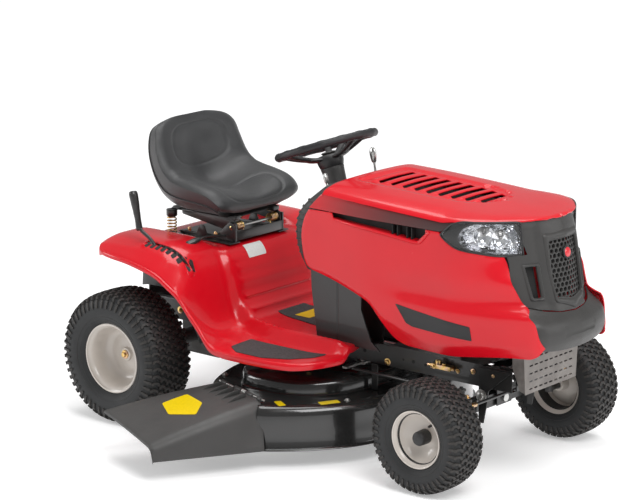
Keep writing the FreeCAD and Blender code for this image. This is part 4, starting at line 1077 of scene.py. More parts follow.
# Near-black ribbed sheet under the louvres: painted shade, so the slots look into a shaded hood.
LOUVRE_SHADE = Shape().slab(soft([(-124, -190), (124, -190), (120, -480), (84, -700), (-84, -700), (-120, -480)],
                          20), 838, 841)
for SPOT in range(-684, -200, 12):
    LOUVRE_SHADE.box((-118 if SPOT > -480 else -70, SPOT, 841), (118 if SPOT > -480 else 70, SPOT + 4, 846))
piece("louvre_shade", LOUVRE_SHADE, "hood_group", BLACK_AND_PAINTED_SHADE, angle=40)


# ---------------------------------------------------------------- nose

NOSE_BACK = [(440, -930), (472, -943), (500, -944), (535, -932), (556, -914), (640, -895), (731, -879),
             (800, -866), (856, -850)]
NOSE_SWEEP = [(0, 0), (60, 12), (110, 32), (160, 61), (196, 90), (222, 122), (240, 150), (300, 260)]
BUMPER_SWEEP = [(0, 0), (60, 4), (100, 10), (140, 20), (165, 29), (186, 45), (203, 74), (226, 140)]


def nose_point(x, z):
    away = abs(x)
    blend = smooth((z - 530) / 56)
    sweep = curve_at(BUMPER_SWEEP, away) * (1 - blend) + curve_at(NOSE_SWEEP, away) * blend
    return Vector((x, curve_at(NOSE_BACK, z) + sweep, z))


def red_edge(z, gap=1.5):
    """Where the red side ends, as a half width, at a height."""
    table = sorted((b, a) for a, b in FRONT_EDGE)
    y = curve_at(table, z)
    return hood_half(y, z) - gap


def window_loop(grow):
    half_top, half_low = 70 + grow, 66 + grow
    points = [(-half_low, 604 - grow), (0, 594 - grow * 1.2), (half_low, 604 - grow), (half_top + 2, 690),
              (half_top, 776 + grow), (0, 779 + grow), (-half_top, 776 + grow), (-half_top - 2, 690)]
    return soft(points, 9, 4)


def frame_outer():
    points = [(-72, 588), (0, 562), (72, 588), (86, 690), (89, 800), (0, 804), (-89, 800), (-86, 690)]
    return soft(points, 9, 4)


def vent_loop(side, grow):
    points = [(side * (108 - grow), 605 - grow), (side * (134 + grow), 607 - grow),
              (side * (148 + grow), 703 + grow), (side * (112 - grow), 703 + grow)]
    return soft(points, 6, 4)


def nose_panel():
    levels = [588, 600, 620, 640, 660, 680, 700, 720, 737]
    right = [(0, 558), (60, 561), (120, 570), (163, 582)] + [(red_edge(z), z) for z in levels]
    right += [(134, 741), (140, 765), (151, 800), (163, 834), (164, 841), (120, 845), (60, 847.5), (0, 849)]
    outline = right + [(-a, b) for a, b in right[::-1][1:-1]]
    holes = [window_loop(0), vent_loop(1, 0), vent_loop(-1, 0)]
    ridges = []
    for flip in (-1, 1):
        ridges.append([(flip * a, b) for a, b in ((94, 812), (92, 700), (80, 596), (70, 578))])
        ridges.append([(flip * a, b) for a, b in ((104, 800), (100, 700), (90, 600))])
    return skin(outline, 9, nose_shape, 3.4, (0, -1, 0), holes=holes, lines=ridges)


def nose_shape(x, z):
    """The nose with its side fields sunk beside the middle moulding."""
    spot = nose_point(x, z)
    border = 94 if z > 700 else 80 + (z - 596) * 0.13
    spot.y += 9 * smooth((abs(x) - border) / 8) * smooth((838 - z) / 16)
    return spot


def nose_bumper():
    levels = [585, 570, 556, 543, 520, 493, 475, 464]
    right = [(0, 555), (60, 558), (120, 567), (160, 579)] + [(red_edge(z), z) for z in levels]
    right += [(160, 452), (120, 446), (60, 442.5), (0, 442)]
    outline = right + [(-a, b) for a, b in right[::-1][1:-1]]
    plate = soft([(-85, 488), (85, 488), (85, 521), (-85, 521)], 5)
    inner = soft([(-83.5, 489.5), (83.5, 489.5), (83.5, 519.5), (-83.5, 519.5)], 4)

    def shape(x, z):
        spot = nose_point(x, z)
        if inside(inner, (x, z)):
            spot.y += 1.6
        return spot

    shelf = [(-150, 541), (-100, 533), (0, 528), (100, 533), (150, 541)]
    return skin(outline, 10, shape, 3.4, (0, -1, 0), lines=[plate + plate[:1], inner + inner[:1], shelf])


def honeycomb(outline, pitch, web, lift, depth):
    """Hexagon mesh that fills an outline."""
    shape = Shape()
    out = pitch / math.sqrt(3)
    core = (pitch - web) / math.sqrt(3)
    low = [min(p[i] for p in outline) for i in (0, 1)]
    high = [max(p[i] for p in outline) for i in (0, 1)]
    row = 0
    b = low[1]
    while b < high[1] + pitch:
        a = low[0] + (pitch / 2 if row % 2 else 0)
        while a < high[0] + pitch:
            if near([outline + outline[:1]], (a, b), pitch * 0.62) or inside(outline, (a, b)):
                corners = [(math.cos(math.radians(60 * k + 30)), math.sin(math.radians(60 * k + 30)))
                           for k in range(6)]
                rows = []
                for size, deep in ((out, depth), (out, 0), (core + 0.4, 0), (core, 0.8), (core, depth)):
                    rows.append([Vector(lift(a + c * size, b + s * size)) + Vector((0, deep, 0))
                                 for c, s in corners])
                shape.grid(rows, wrap=True, loop=True)
            a += pitch
        b += pitch * 0.866
        row += 1
    return shape


piece("nose_panel", nose_panel(), "hood_group", DARK, slot="dark_plastic", bevel=1.0, segments=3, angle=48,
      replaces=("grille_surround",))
piece("nose_bumper", nose_bumper(), "hood_group", DARK, slot="dark_plastic", bevel=1.0, segments=3, angle=48)
piece("nose_frame", ring(frame_outer(), window_loop(2), nose_point, 4, (0, -1, 0), rise=6.0), "hood_group",
      DARK,
      bevel=0.5, angle=60)
for FLIP, WORD in ((-1, "right"), (1, "left")):
    piece("vent_frame_" + WORD, ring(vent_loop(FLIP, 9), vent_loop(FLIP, 0.5), nose_shape, 5, (0, -1, 0),
                                     rise=6.0),
          "hood_group", DARK, bevel=0.5, angle=60)
    # Near-black sheet behind the vent: painted shade for the shadowed inside of the nose.
    VENT_SHADE = skin(vent_loop(FLIP, 6), 20, lambda a, b: nose_point(a, b) + Vector((0, 30, 0)), 2, (0, -1, 0))
    piece("vent_shade_" + WORD, VENT_SHADE, "hood_group", BLACK_AND_PAINTED_SHADE)
piece("grille_honeycomb", honeycomb(window_loop(3), 17.5, 4.6, lambda a,
                                    b: nose_point(a, b) + Vector((0, 5, 0)), 6),
      "hood_group", DARK, replaces=("grille_mesh",), angle=50)
# Near-black sheet behind the honeycomb: painted shade for the shadowed inside of the nose.
piece("grille_shade", skin(window_loop(4), 20, lambda a, b: nose_point(a, b) + Vector((0, 40, 0)), 2,
                          (0, -1, 0)),
      "hood_group", BLACK_AND_PAINTED_SHADE)
DISC = Shape().lathe([(0, 1), (0, 20), (4, 20.5), (6, 19), (6.4, 16.5), (5.6, 15.6)], (0, -875, 733),
                     (0, -1, 0.18), 48)
piece("nose_disc_rim", DISC, "hood_group", BLACK_PLASTIC, bevel=0.4)
DOT = Shape().lathe([(3, 0.5), (3, 15.4), (6.0, 15.2), (7.2, 11), (7.8, 5), (8, 0.3)], (0, -875, 733),
                    (0, -1, 0.18), 48)
piece("nose_disc", DOT, "hood_group", BADGE_RED)


# ---------------------------------------------------------------- headlights

LAMP_TOP = [(-583, 792), (-604, 812), (-627, 830), (-661, 841), (-700, 843), (-750, 845), (-790, 844.5),
            (-806, 842)]
LAMP_BASE = [(-583, 790), (-600, 777), (-637, 757), (-673, 750), (-707, 747), (-750, 741), (-779, 738),
             (-812, 738)]
CLEAR_TOP = [(-642, 790), (-652, 811), (-668, 826), (-696, 839), (-735, 841), (-768, 841), (-794, 839),
             (-802, 834)]
CLEAR_BASE = [(-642, 788), (-650, 771), (-664, 760), (-692, 752), (-716, 748), (-741, 745), (-775, 742),
              (-809, 741)]


def lamp_patch(top, base, swell, inset, steps=5, levels=9):
    """Patch between two curves on the hood's plan, swelling outwards."""
    high, low = curve(top, steps), curve(base, steps)
    rows = []
    for (ya, za), (yb, zb) in zip(high, low):
        row = []
        for k in range(levels):
            share = k / (levels - 1)
            y, z = yb + (ya - yb) * share, zb + (za - zb) * share
            width = curve_at(UPPER, y) + swell * math.sin(math.pi * share) - inset
            row.append(Vector((-width, y, z)))
        rows.append(row)
    return rows


def lamp_edge(top, base, inset):
    high, low = curve(top, 5), curve(base, 5)
    loop = high + low[::-1][:-1]
    return [Vector((-curve_at(UPPER, y) + inset, y, z)) for y, z in loop]


def headlight():
    lens = Shape().grid(lamp_patch(LAMP_TOP, LAMP_BASE, 3.0, 0.5))
    lens = thicken(lens.points, lens.faces, 2.2, (-1, -0.6, 0))
    gasket = Shape().tube(lamp_edge(LAMP_TOP, LAMP_BASE, 1.0), 3.0, 8, closed=True)
    inner = Shape().tube(lamp_edge(CLEAR_TOP, CLEAR_BASE, 5.0), 2.6, 8, closed=True)
    shade_wall = Shape()
    full, clear = lamp_edge(LAMP_TOP, LAMP_BASE, 6.0), lamp_edge(CLEAR_TOP, CLEAR_BASE, 8.0)
    shade_wall.grid([full, clear], wrap=True)
    shade_wall = thicken(shade_wall.points, shade_wall.faces, 1.5, (-1, -0.6, 0))
    rows = []
    edge = lamp_edge(CLEAR_TOP, CLEAR_BASE, 8.0)
    middle = Vector((-202, -722, 795))
    for share, deep in ((1.0, 0), (0.93, 12), (0.80, 22), (0.6, 30), (0.35, 36), (0.1, 38)):
        rows.append([middle.lerp(p, share) + Vector((0.78, 0.62, 0)) * deep for p in edge])
    bowl = Shape().grid(rows, wrap=True)
    bowl.faces.append([len(bowl.points) - len(edge) + k for k in range(len(edge))])
    bowl.tones.append(0)
    bowl = thicken(bowl.points, bowl.faces, 1.5, (-0.78, -0.62, 0))
    parts = []
    for spot, size in (((-212, -715, 797), 34), ((-185, -757, 790), 30)):
        aim = (-0.80, -0.60, 0.0)
        dish_shape = Shape().lathe([(-size * 0.55, size * 0.12), (-size * 0.50, size * 0.35),
                                    (-size * 0.36, size * 0.62),
                                    (-size * 0.14, size * 0.86), (0, size * 0.95), (1.2, size),
                                    (0, size * 1.02),
                                    (-size * 0.2, size * 0.92), (-size * 0.6, size * 0.3)], spot, aim, 40)
        parts.append((dish_shape, spot, size, aim))
    return lens, gasket.include(inner), shade_wall, bowl, parts


LAMP, GASKET, SHADE, BOWL, DISHES = headlight()
piece("headlight_glass", LAMP.mirrored(), "hood_group", LENS, slot="lens", angle=60,
      replaces=("headlight_lenses",))
piece("headlight_seals", GASKET.mirrored(), "hood_group", BLACK_PLASTIC, angle=60)
piece("headlight_shades", SHADE.mirrored(), "hood_group", BLACK_AND_PAINTED_SHADE, angle=40)
piece("headlight_bowls", BOWL.mirrored(), "hood_group", CHROME, angle=60)
REFLECTORS, BULBS = Shape(), Shape()
for DISH, SPOT, SIZE, AIM in DISHES:
    REFLECTORS.include(DISH)
    BULBS.lathe([(-SIZE * 0.5, 1), (-SIZE * 0.5, 5), (-SIZE * 0.3, 5), (-SIZE * 0.22, 4),
                 (-SIZE * 0.16, 0.3)], SPOT, AIM, 24)
piece("headlight_reflectors", REFLECTORS.mirrored(), "hood_group", CHROME, angle=60)
piece("headlight_bulbs", BULBS.mirrored(), "hood_group", STEEL, angle=60)


# ---------------------------------------------------------------- fenders and footboards

INNER_LINE = [(-210, 334), (150, 333), (230, 336), (280, 346), (310, 372), (335, 430), (360, 510), (385, 562),
              (411, 593), (434, 606), (470, 618), (520, 622), (640, 622), (700, 621), (735, 617), (747, 611)]
OUTER_LINE = [(-210, 330), (150, 330), (208, 340), (260, 394), (299, 432), (347, 482), (396, 511), (449, 540),
              (513, 557), (595, 572), (684, 578), (725, 577), (747, 572)]
MIDDLE_LINE = [(-210, 360), (150, 360), (214, 362), (250, 370), (275, 391), (311, 431), (326, 477),
               (342, 514), (358, 556), (380, 580), (420, 590), (690, 592), (730, 588), (747, 580)]
FENDER_HALF = [(118, -60), (122, -150), (170, -180), (221, -195), (270, -201), (331, -190), (390, -162),
               (430, -124),
               (452, -45), (459, 53), (458, 139), (454, 208), (451, 260), (451, 640), (446, 690), (432, 722),
               (405, 740), (370, 746), (300, 747), (0, 747)]


def fender_height(x, y):
    away = abs(x)
    low, mid = curve_at(INNER_LINE, y), curve_at(MIDDLE_LINE, y)
    ridge = 252 - 50 * smooth((y - 60) / 240)
    z = mid + (low - mid) * smooth((away - ridge + 22) / 44)
    bank = smooth((away - ridge + 30) / 20) * (1 - smooth((away - ridge - 8) / 34))
    z += 20 * bank * (1 - smooth((y - 190) / 90)) * smooth((y + 215) / 60)
    if away > 300:
        share = min(1.0, (away - 300) / 152)
        z += (curve_at(OUTER_LINE, y) - low) * share ** 2.1
    if y > 300:
        crease = math.exp(-((away - 392 - (y - 300) * 0.05) / 10) ** 2)
        z += 2.2 * crease * smooth((y - 300) / 80)
    return z


def fender_point(x, y):
    z = fender_height(x, y)
    away = abs(x)
    push = 0.0
    if away < 176:
        for level in (392, 431, 474, 514):
            rib = max(0.0, 1 - abs(z - level) / 9.0)
            push += 6.5 * smooth(rib) * smooth((176 - away) / 12)
    return Vector((x, y - push, z))


def over_fender(height):
    """Lifts a flat outline to a height above the fender."""
    return lambda a, b: Vector((a, b, fender_height(a, b) + height))


LEVER_SLOT = [(-368, 378), (-354, 378), (-354, 572), (-368, 572)]


def fender_outline():
    right = soft(FENDER_HALF[:-1], 30, 5, False) + [FENDER_HALF[-1]]
    return [(-a, b) for a, b in right] + [(a, b) for a, b in right[::-1][1:]]


def fender_skin():
    outline = fender_outline()
    lines = []
    for flip in (-1, 1):
        for reach in (0.985, 0.965):
            lines.append([(flip * a * reach, b) for a, b in soft(FENDER_HALF[7:-4], 20, 3, False)])
    lines += [[(-174, y), (174, y)] for y in (268 + 4.2 * k for k in range(24))]
    slot = soft(LEVER_SLOT, 6, 3)
    return skin(outline, 11.5, fender_point, 2.8, (0, 0, 1), holes=[slot], lines=lines)


def fender_rim():
    """Rolled edge that hangs from the skin, all round but for the tower opening."""
    edge = [(-a, b) for a, b in even(soft(FENDER_HALF[:-1], 30, 5, False) + [(0, 747)], 14)]
    edge = edge + [(-a, b) for a, b in edge[::-1][1:]]
    rows = []
    for index, (x, y) in enumerate(edge):
        before, after = edge[max(0, index - 1)], edge[min(len(edge) - 1, index + 1)]
        along = Vector((after[0] - before[0], after[1] - before[1], 0)).normalized()
        out = Vector((-along.y, along.x, 0))
        if out.dot(Vector((x, y - 250, 0))) < 0:
            out = -out
        top = Vector((x, y, fender_height(x, y) - 0.2))
        deep = 24 if y < 150 else 16 + 6 * smooth((400 - y) / 250) + 22 * smooth((y - 690) / 50)
        rows.append([top + out * a + Vector((0, 0, -b * deep / 24)) for a, b in
                     ((-1, 0), (2.6, 0.6), (5.4, 2.6), (7.2, 6), (7.8, 11), (7.8, 20), (6.6, 23.4),
                      (3.8, 24.2), (1.2, 22.6))])
    return wall(rows, 2.0, (0, 0, 1))


def wheel_well(side):
    """Dark liner inside a rear fender."""
    rows = []
    for y in range(236, 741, 24):
        top = fender_height(side * 300, y) - 14
        rows.append([Vector((side * 208, y, top - 6)), Vector((side * 208, y, max(318, top - 120))),
                     Vector((side * 214, y, max(312, top - 190)))])
    return wall(rows, 2.4, (side, 0, 0))


FOOT_PAD = [(300, 165), (405, 160), (440, 108), (440, 0), (405, -82), (345, -138), (288, -150), (302, -90),
            (304, 0), (304, 100)]


def foot_pads():
    shape = Shape()
    for flip in (-1, 1):
        outline = soft([(flip * a, b) for a, b in FOOT_PAD], 8, 3)
        shape.include(skin(outline, 14, over_fender(2.2), 2.6, (0, 0, 1)))
    return shape


def lever_slot():
    """Raised bezel round the deck lever's slot."""
    outer = soft([(-376, 368), (-346, 368), (-346, 582), (-376, 582)], 9, 4)
    inner = soft(LEVER_SLOT, 6, 4)
    lift = lambda a, b: Vector((a, b, fender_height(a, b)))
    return ring(outer, inner, lift, 2, (0, 0, 1), rise=3.2)


# The dark teeth lie on the fender as painted shade for the notch openings, with the black notch plate seen
# through them.
def notch_strip():
    shape = Shape()
    for k in range(7):
        y = 404 + k * 24
        tooth = soft([(-388, y + 3), (-368, y), (-368, y + 17), (-384, y + 17)], 3, 2)
        shape.include(skin(tooth, 10, over_fender(0.9), 1.4, (0, 0, 1)))
    return shape


piece("fender_skin", fender_skin(), "chassis", RED, slot="body_red", bevel=0.6, segments=2, angle=50,
      replaces=("fender_body",))
piece("fender_rim", fender_rim(), "chassis", RED, slot="body_red", angle=40)
for WORD, SIDE in (("right", -1), ("left", 1)):
    piece("fender_liner_" + WORD, wheel_well(SIDE), "chassis", FRAME_BLACK, bevel=0.5, angle=50)
piece("foot_pads", foot_pads(), "chassis", PAD, bevel=0.8, angle=50)
piece("lever_bezel", lever_slot(), "chassis", RED, slot="body_red", angle=50)
piece("lever_notches", notch_strip(), "chassis", BLACK_AND_PAINTED_SHADE, bevel=0.3, angle=50)
CENTRE_PAD = skin(soft([(-118, -40), (118, -40), (104, 60), (70, 246), (-70, 246), (-104, 60)], 6, 3), 12,
                  over_fender(2.2), 2.6, (0, 0, 1))
piece("centre_pad", CENTRE_PAD, "chassis", PAD, bevel=0.8, angle=50)
FLOOR_LABEL = skin(soft([(-52, 122), (58, 122), (58, 186), (-52, 186)], 4, 3), 10,
                   over_fender(3.0), 0.5, (0, 0, 1))
piece("floor_label", FLOOR_LABEL, "chassis", YELLOW_LABEL)
SEAT_LABEL = skin(soft([(-95, 352), (-5, 352), (-5, 383), (-95, 383)], 4, 3), 6,
                  lambda a, b: fender_point(a, b) + Vector((0, -0.8, 1.0)), 0.5, (0, -0.5, 1))
piece("seat_front_label", SEAT_LABEL, "chassis", WHITE_LABEL)


# ---------------------------------------------------------------- seat

SEAT_SPINE = [(388, 696), (383, 710), (390, 728), (415, 738), (450, 744), (500, 746), (560, 749), (610, 759),
              (645, 784), (670, 826), (686, 880), (691, 930), (696, 962), (706, 987)]
SEAT_WIDE = [(0, 112), (0.03, 146), (0.07, 174), (0.12, 197), (0.19, 212), (0.29, 221), (0.42, 224),
             (0.58, 223),
             (0.70, 220), (0.78, 215), (0.85, 204), (0.91, 185), (0.95, 160), (0.98, 124), (1.0, 84)]
SEAT_RIM = [(0, 1), (0.07, 4), (0.12, 10), (0.19, 22), (0.29, 38), (0.45, 54), (0.58, 60), (0.72, 46),
            (0.85, 28), (0.95, 10), (1.0, 2)]
SEAT_THICK = [(0, 10), (0.03, 30), (0.07, 44), (0.14, 54), (0.25, 60), (0.45, 68), (0.6, 80), (0.75, 80),
              (0.88, 66), (0.96, 46), (1.0, 16)]


def groove(u, s, centre, wide, tall):
    """Depth of a stitched line round a soft-cornered field."""
    reach = (abs((u - centre[0]) / wide) ** 3 + abs((s - centre[1]) / tall) ** 3) ** (1 / 3)
    line = math.exp(-((reach - 1) / 0.045) ** 2)
    puff = 2.4 * (1 - smooth((reach - 0.55) / 0.45)) if reach < 1 else 0.0
    return puff - 3.2 * line


def seat_shell():
    spine = spline([(y, z, 0) for y, z in SEAT_SPINE], 10)
    count = len(spine)
    rows = []
    across = 72
    for index, spot in enumerate(spine):
        s = index / (count - 1)
        ahead = (spine[min(count - 1, index + 1)] - spine[max(0, index - 1)]).normalized()
        up = Vector((-ahead.y, ahead.x, 0))
        wide, rim, deep = curve_at(SEAT_WIDE, s), curve_at(SEAT_RIM, s), curve_at(SEAT_THICK, s)
        row = []
        for k in range(across + 1):
            u = -1 + 2 * k / across
            u = math.sin(u * math.pi / 2 * 0.96) / math.sin(math.pi / 2 * 0.96)
            away = abs(u)
            n = rim * smooth(away / 0.86) - (10 + rim * 0.12) * max(0.0, (away - 0.84) / 0.16) ** 2
            n += groove(u, s, (0, 0.79), 0.62, 0.12)
            n += groove(u, s, (0, 0.27), 0.66, 0.14)
            row.append((u * wide, n))
        edge = row[-1][1]
        for k in range(1, across // 2):
            u = 1 - 2 * k / (across // 2)
            bulge = (1 - abs(u) ** 4.6) ** 0.62
            row.append((u * wide * (1 - 0.03 * bulge), edge - (edge + deep) * bulge - 3))
        rows.append([Vector((x, spot.x + up.x * n, spot.y + up.y * n)) for x, n in row])
    shape = Shape().grid(rows, wrap=True, caps=True)
    return shape


def seat_seam():
    """Piping line low on the seat's flank."""
    spine = spline([(y, z, 0) for y, z in SEAT_SPINE], 10)
    count = len(spine)
    path = []
    for index in range(3, count - 3, 2):
        s = index / (count - 1)
        spot = spine[index]
        ahead = (spine[index + 1] - spine[index - 1]).normalized()
        up = Vector((-ahead.y, ahead.x, 0))
        wide, rim, deep = curve_at(SEAT_WIDE, s), curve_at(SEAT_RIM, s), curve_at(SEAT_THICK, s)
        edge = rim - 10 - rim * 0.12
        n = edge - (edge + deep) * 0.458 - 3
        path.append(Vector((-wide * 0.921, spot.x + up.x * n, spot.y + up.y * n)))
    return Shape().tube(path, 2.0, 8).mirrored()


SEAT = piece("seat_shell", seat_shell(), "seat", VINYL, slot="vinyl", angle=70, subdivide=1,
             replaces=("seat_cushion",))
piece("seat_piping", seat_seam(), "seat", VINYL, slot="vinyl", angle=70)


# ---------------------------------------------------------------- steering wheel and dash

TILT = math.radians(20)
COLUMN = Vector((0, math.sin(TILT), math.cos(TILT)))
HUB = Vector((0, 90, 950))
ACROSS, ALONG = Vector((1, 0, 0)), Vector((0, math.cos(TILT), -math.sin(TILT)))


def wheel_spot(radius, degrees, rise=0.0):
    turn = math.radians(degrees)
    return HUB + ACROSS * radius * math.cos(turn) + ALONG * radius * math.sin(turn) + COLUMN * rise


def steering_rim():
    shape = Shape()
    rows = []
    for k in range(180):
        degrees = 2 * k
        back = math.cos(math.radians(degrees * 30 / 2))
        grip = 12.7 + 1.5 * max(0.0, back) * (1 if not 70 < degrees < 110 else 0)
        centre = wheel_spot(165, degrees)
        out = (centre - HUB).normalized()
        rows.append([centre + out * grip * math.cos(2 * math.pi * j / 20) * 0.95
                     + COLUMN * grip * math.sin(2 * math.pi * j / 20) for j in range(20)])
    return shape.grid(rows, wrap=True, loop=True)


def steering_spokes():
    """Three forked, dished spokes and the hub they rise from."""
    shape = Shape()
    for angle in (30, 150, 270):
        for fork in (-9, 9):
            path = [wheel_spot(24, angle + fork * 0.3, -44), wheel_spot(62, angle + fork * 0.9, -38),
                    wheel_spot(110, angle + fork, -22), wheel_spot(146, angle + fork * 1.15, -6),
                    wheel_spot(160, angle + fork * 1.2, -1)]
            shape.tube(spline(path, 5), 11.5, 12, flat=0.66, up=tuple(COLUMN))
        web = [wheel_spot(30, angle, -45), wheel_spot(66, angle, -39), wheel_spot(92, angle, -31)]
        shape.tube(spline(web, 4), [30, 30, 29, 28, 26, 23, 19, 14, 8], 12, flat=0.30, up=tuple(COLUMN))
    shape.lathe([(-74, 10), (-74, 40), (-60, 44), (-46, 46), (-38, 44), (-33, 36), (-31, 22), (-30, 2)],
                HUB, tuple(COLUMN), 56)
    return shape


def wheel_skirt():
    """Tapered cover between the wheel's hub and the dash."""
    return Shape().lathe([(-162, 8), (-162, 33), (-158, 34.5), (-120, 36), (-90, 38), (-76, 40), (-74, 38),
                          (-74, 9)], HUB, tuple(COLUMN), 56)


piece("steering_grip", steering_rim(), "steering", GRIP, slot="grip_rubber", angle=60,
      replaces=("steering_wheel",))
piece("steering_hub", steering_spokes(), "steering", BLACK_PLASTIC, slot="dark_plastic", bevel=0.6, angle=60)
CAP = Shape().lathe([(-32, 2), (-31, 20), (-27, 25), (-24, 24), (-22, 16), (-21.4, 1)], HUB, tuple(COLUMN),
                    48)
piece("steering_cap", CAP, "steering", DARK, bevel=0.5)
piece("column_cover", wheel_skirt(), "chassis", DARK, slot="dark_plastic", bevel=0.6,
      replaces=("column_boot",))

DASH_EDGE = [(586, -64), (618, -45), (662, -30), (721, -25), (772, -38), (813, -68), (844, -98), (874, -126),
             (888, -150)]
DASH_HALF = [(586, 236), (700, 245), (790, 243), (825, 232), (858, 206), (874, 180), (888, 120)]


def dash_shell():
    """Moulded console: a collar inside the hood's rear edge that swells back towards the driver."""
    rows = []
    for z in (588, 604, 622, 645, 670, 700, 730, 760, 785, 805, 822, 838, 850, 859, 866, 871, 875):
        edge, half = curve_at(DASH_EDGE, z), curve_at(DASH_HALF, z) - 5
        round_off = 14 * smooth((z - 855) / 20) ** 2
        bend = [(half, edge - 24), (half, edge - 4), (half, edge + 16), (half - 0.5, edge + 32),
                (half - 4, edge + 44), (half - 12, edge + 53), (half - 24, edge + 58), (half - 42, edge + 57),
                (half - 60, edge + 51), (half - 88, edge + 46)]
        bend = [(x, y - round_off) for x, y in bend]
        row = bend + [(0, edge + 47 - round_off)] + [(-x, y) for x, y in bend[::-1]]
        rows.append([Vector((x, y, z)) for x, y in row])
    top = []
    for share in (0.15, 0.4, 0.7, 1.0):
        top.append([Vector((p.x * (1 - 0.08 * share), p.y + (-140 - p.y) * share, 876 - 2.0 * share))
                    for p in rows[-1]])
    return wall(rows + top, 3.5, (0, 1, 0.4))


def dash_trim():
    """Ribs down both flanks of the console and a cup ring round the column."""
    shape = Shape()
    for flip in (-1, 1):
        for z in range(640, 820, 22):
            half = curve_at(DASH_HALF, z) - 5
            edge = curve_at(DASH_EDGE, z)
            shape.tube([Vector((flip * (half + 0.2), edge + 8, z)),
                        Vector((flip * (half + 0.2), edge + 32, z + 1)),
                        Vector((flip * (half - 6), edge + 48, z + 2)),
                        Vector((flip * (half - 20), edge + 57, z + 2))], 3.0, 8)
    shape.lathe([(-150, 38), (-150, 52), (-144, 54), (-138, 50), (-136, 40)], HUB, tuple(COLUMN), 48)
    return shape


piece("dash_shell", dash_shell(), "chassis", DASH, slot="dark_plastic", bevel=0.8, angle=50,
      replaces=("dash_panel",))
piece("dash_trim", dash_trim(), "chassis", DASH, slot="dark_plastic", angle=50)


def throttle():
    shape = Shape().tube(spline([(-130, -52, 800), (-130, -30, 838), (-130, -18, 862)], 5), 3.0, 12, tone=0)
    shape.tube([(-130, -22, 856), (-130, -19, 862), (-130, -15, 876), (-130, -13, 886), (-130, -12.5, 889)],
               [4, 8.5, 9.5, 8.5, 4], 16, flat=0.75, tone=1)
    return shape


def blade_switch():
    shape = Shape().tube(spline([(92, -52, 815), (92, -42, 885), (92, -38, 900)], 5), 4.0, 12, tone=0)
    shape.tube([(92, -40, 892), (92, -39, 898), (92, -36.5, 912), (92, -34, 928), (92, -32, 940),
                (92, -31.5, 944)],
               [5, 10, 13, 14, 10, 4], 18, flat=0.55, tone=1)
    return shape


piece("throttle_arm", throttle(), "throttle", [ZINC, BLACK_PLASTIC], replaces=("throttle_lever",), angle=50)
piece("blade_arm", blade_switch(), "blade_control", [ZINC, BLACK_PLASTIC], replaces=("blade_lever",),
      angle=50)
KEY_SPOT = (-70, -27, 813)
KEY_AXIS = Vector((0, math.sin(math.radians(40)), math.cos(math.radians(40))))
KEY = Shape().lathe([(-14, 1), (-14, 4), (8, 4), (8, 1)], KEY_SPOT, tuple(KEY_AXIS), 20)
ACROSS_KEY = frame_of(KEY_AXIS)[1]
BOW = [Vector(KEY_SPOT) + KEY_AXIS * (8 + 9 * (1 - math.cos(t))) + ACROSS_KEY * 12 * math.sin(t)
       for t in (2 * math.pi * k / 24 for k in range(24))]
KEY.tube(BOW, 3.0, 10, closed=True, flat=0.8)
piece("key_bow", KEY, "key", BLACK_PLASTIC, replaces=("ignition_key",), angle=50)
LOCK = Shape().lathe([(-16, 5), (-16, 13), (-2, 13), (0, 12), (0, 5)], KEY_SPOT, tuple(KEY_AXIS), 32)
piece("key_lock", LOCK, "chassis", ZINC, bevel=0.5)


# ---------------------------------------------------------------- seat hardware and levers

def coil(shape, low, high, radius, wire, turns, tone=0):
    """A coil spring between two points."""
    low, high = Vector(low), Vector(high)
    one, two = frame_of(high - low)[1:]
    steps = int(turns * 20)
    path = []
    for k in range(steps + 1):
        share = k / steps
        angle = 2 * math.pi * turns * share
        path.append(low.lerp(high,
                             share * 0.98 + 0.01) + (one * math.cos(angle) + two * math.sin(angle)) * radius)
    return shape.tube(path, wire, 8, tone=tone)


SPRING_X, SPRING_Y = 150, 655
HINGE_Y, HINGE_Z = 406, 644
RAIL_FACE = 131
SPRINGS = Shape()
for FLIP in (-1, 1):
    coil(SPRINGS, (FLIP * SPRING_X, SPRING_Y, 594), (FLIP * SPRING_X, SPRING_Y, 655), 15.5, 2.3, 5.5)
piece("seat_coils", SPRINGS, "chassis", YELLOW_ZINC, angle=60, replaces=("seat_springs",))
SEATS = Shape()
for FLIP in (-1, 1):
    SEATS.lathe([(0, 3), (0, 19), (2, 19), (2, 11), (9, 9), (9, 3)], (FLIP * SPRING_X, SPRING_Y, 592), "Z",
                28)
piece("spring_seats", SEATS, "chassis", FRAME_BLACK, bevel=0.4)


def pan():
    """Pressed pan with turned edges, two arms to the hinge and a foot over each spring."""
    rows = []
    for y, low, half in ((412, 674, 96), (418, 682, 112), (440, 686, 120), (560, 686, 122), (650, 684, 124),
                         (688, 680, 118), (694, 672, 108)):
        rows.append([Vector((half * u, y, low - 10 * max(0, abs(u) - 0.94) / 0.06)) for u in
                     (-1, -0.97, -0.9, -0.6, -0.3, 0, 0.3, 0.6, 0.9, 0.97, 1)])
    shape = wall(rows, 3.0, (0, 0, 1))
    for flip in (-1, 1):
        arm = [(388, 632), (400, 622), (420, 628), (640, 660), (640, 684), (420, 684), (390, 658)]
        shape.slab(soft(arm, 6, 3), flip * 112.5 - 2, flip * 112.5 + 2, "X")
        shape.slab(soft([(396, 668), (640, 668), (640, 684), (396, 684)], 3, 2), flip * 100 - 14,
                   flip * 100 + 14, "X")
        shape.lathe([(0, 2), (0, 17), (3, 19), (24, 19), (24, 2)], (flip * SPRING_X, SPRING_Y, 656), "Z", 32)
        shape.box((min(flip * 118, flip * 150), 640, 676), (max(flip * 118, flip * 150), 670, 680))
    return shape


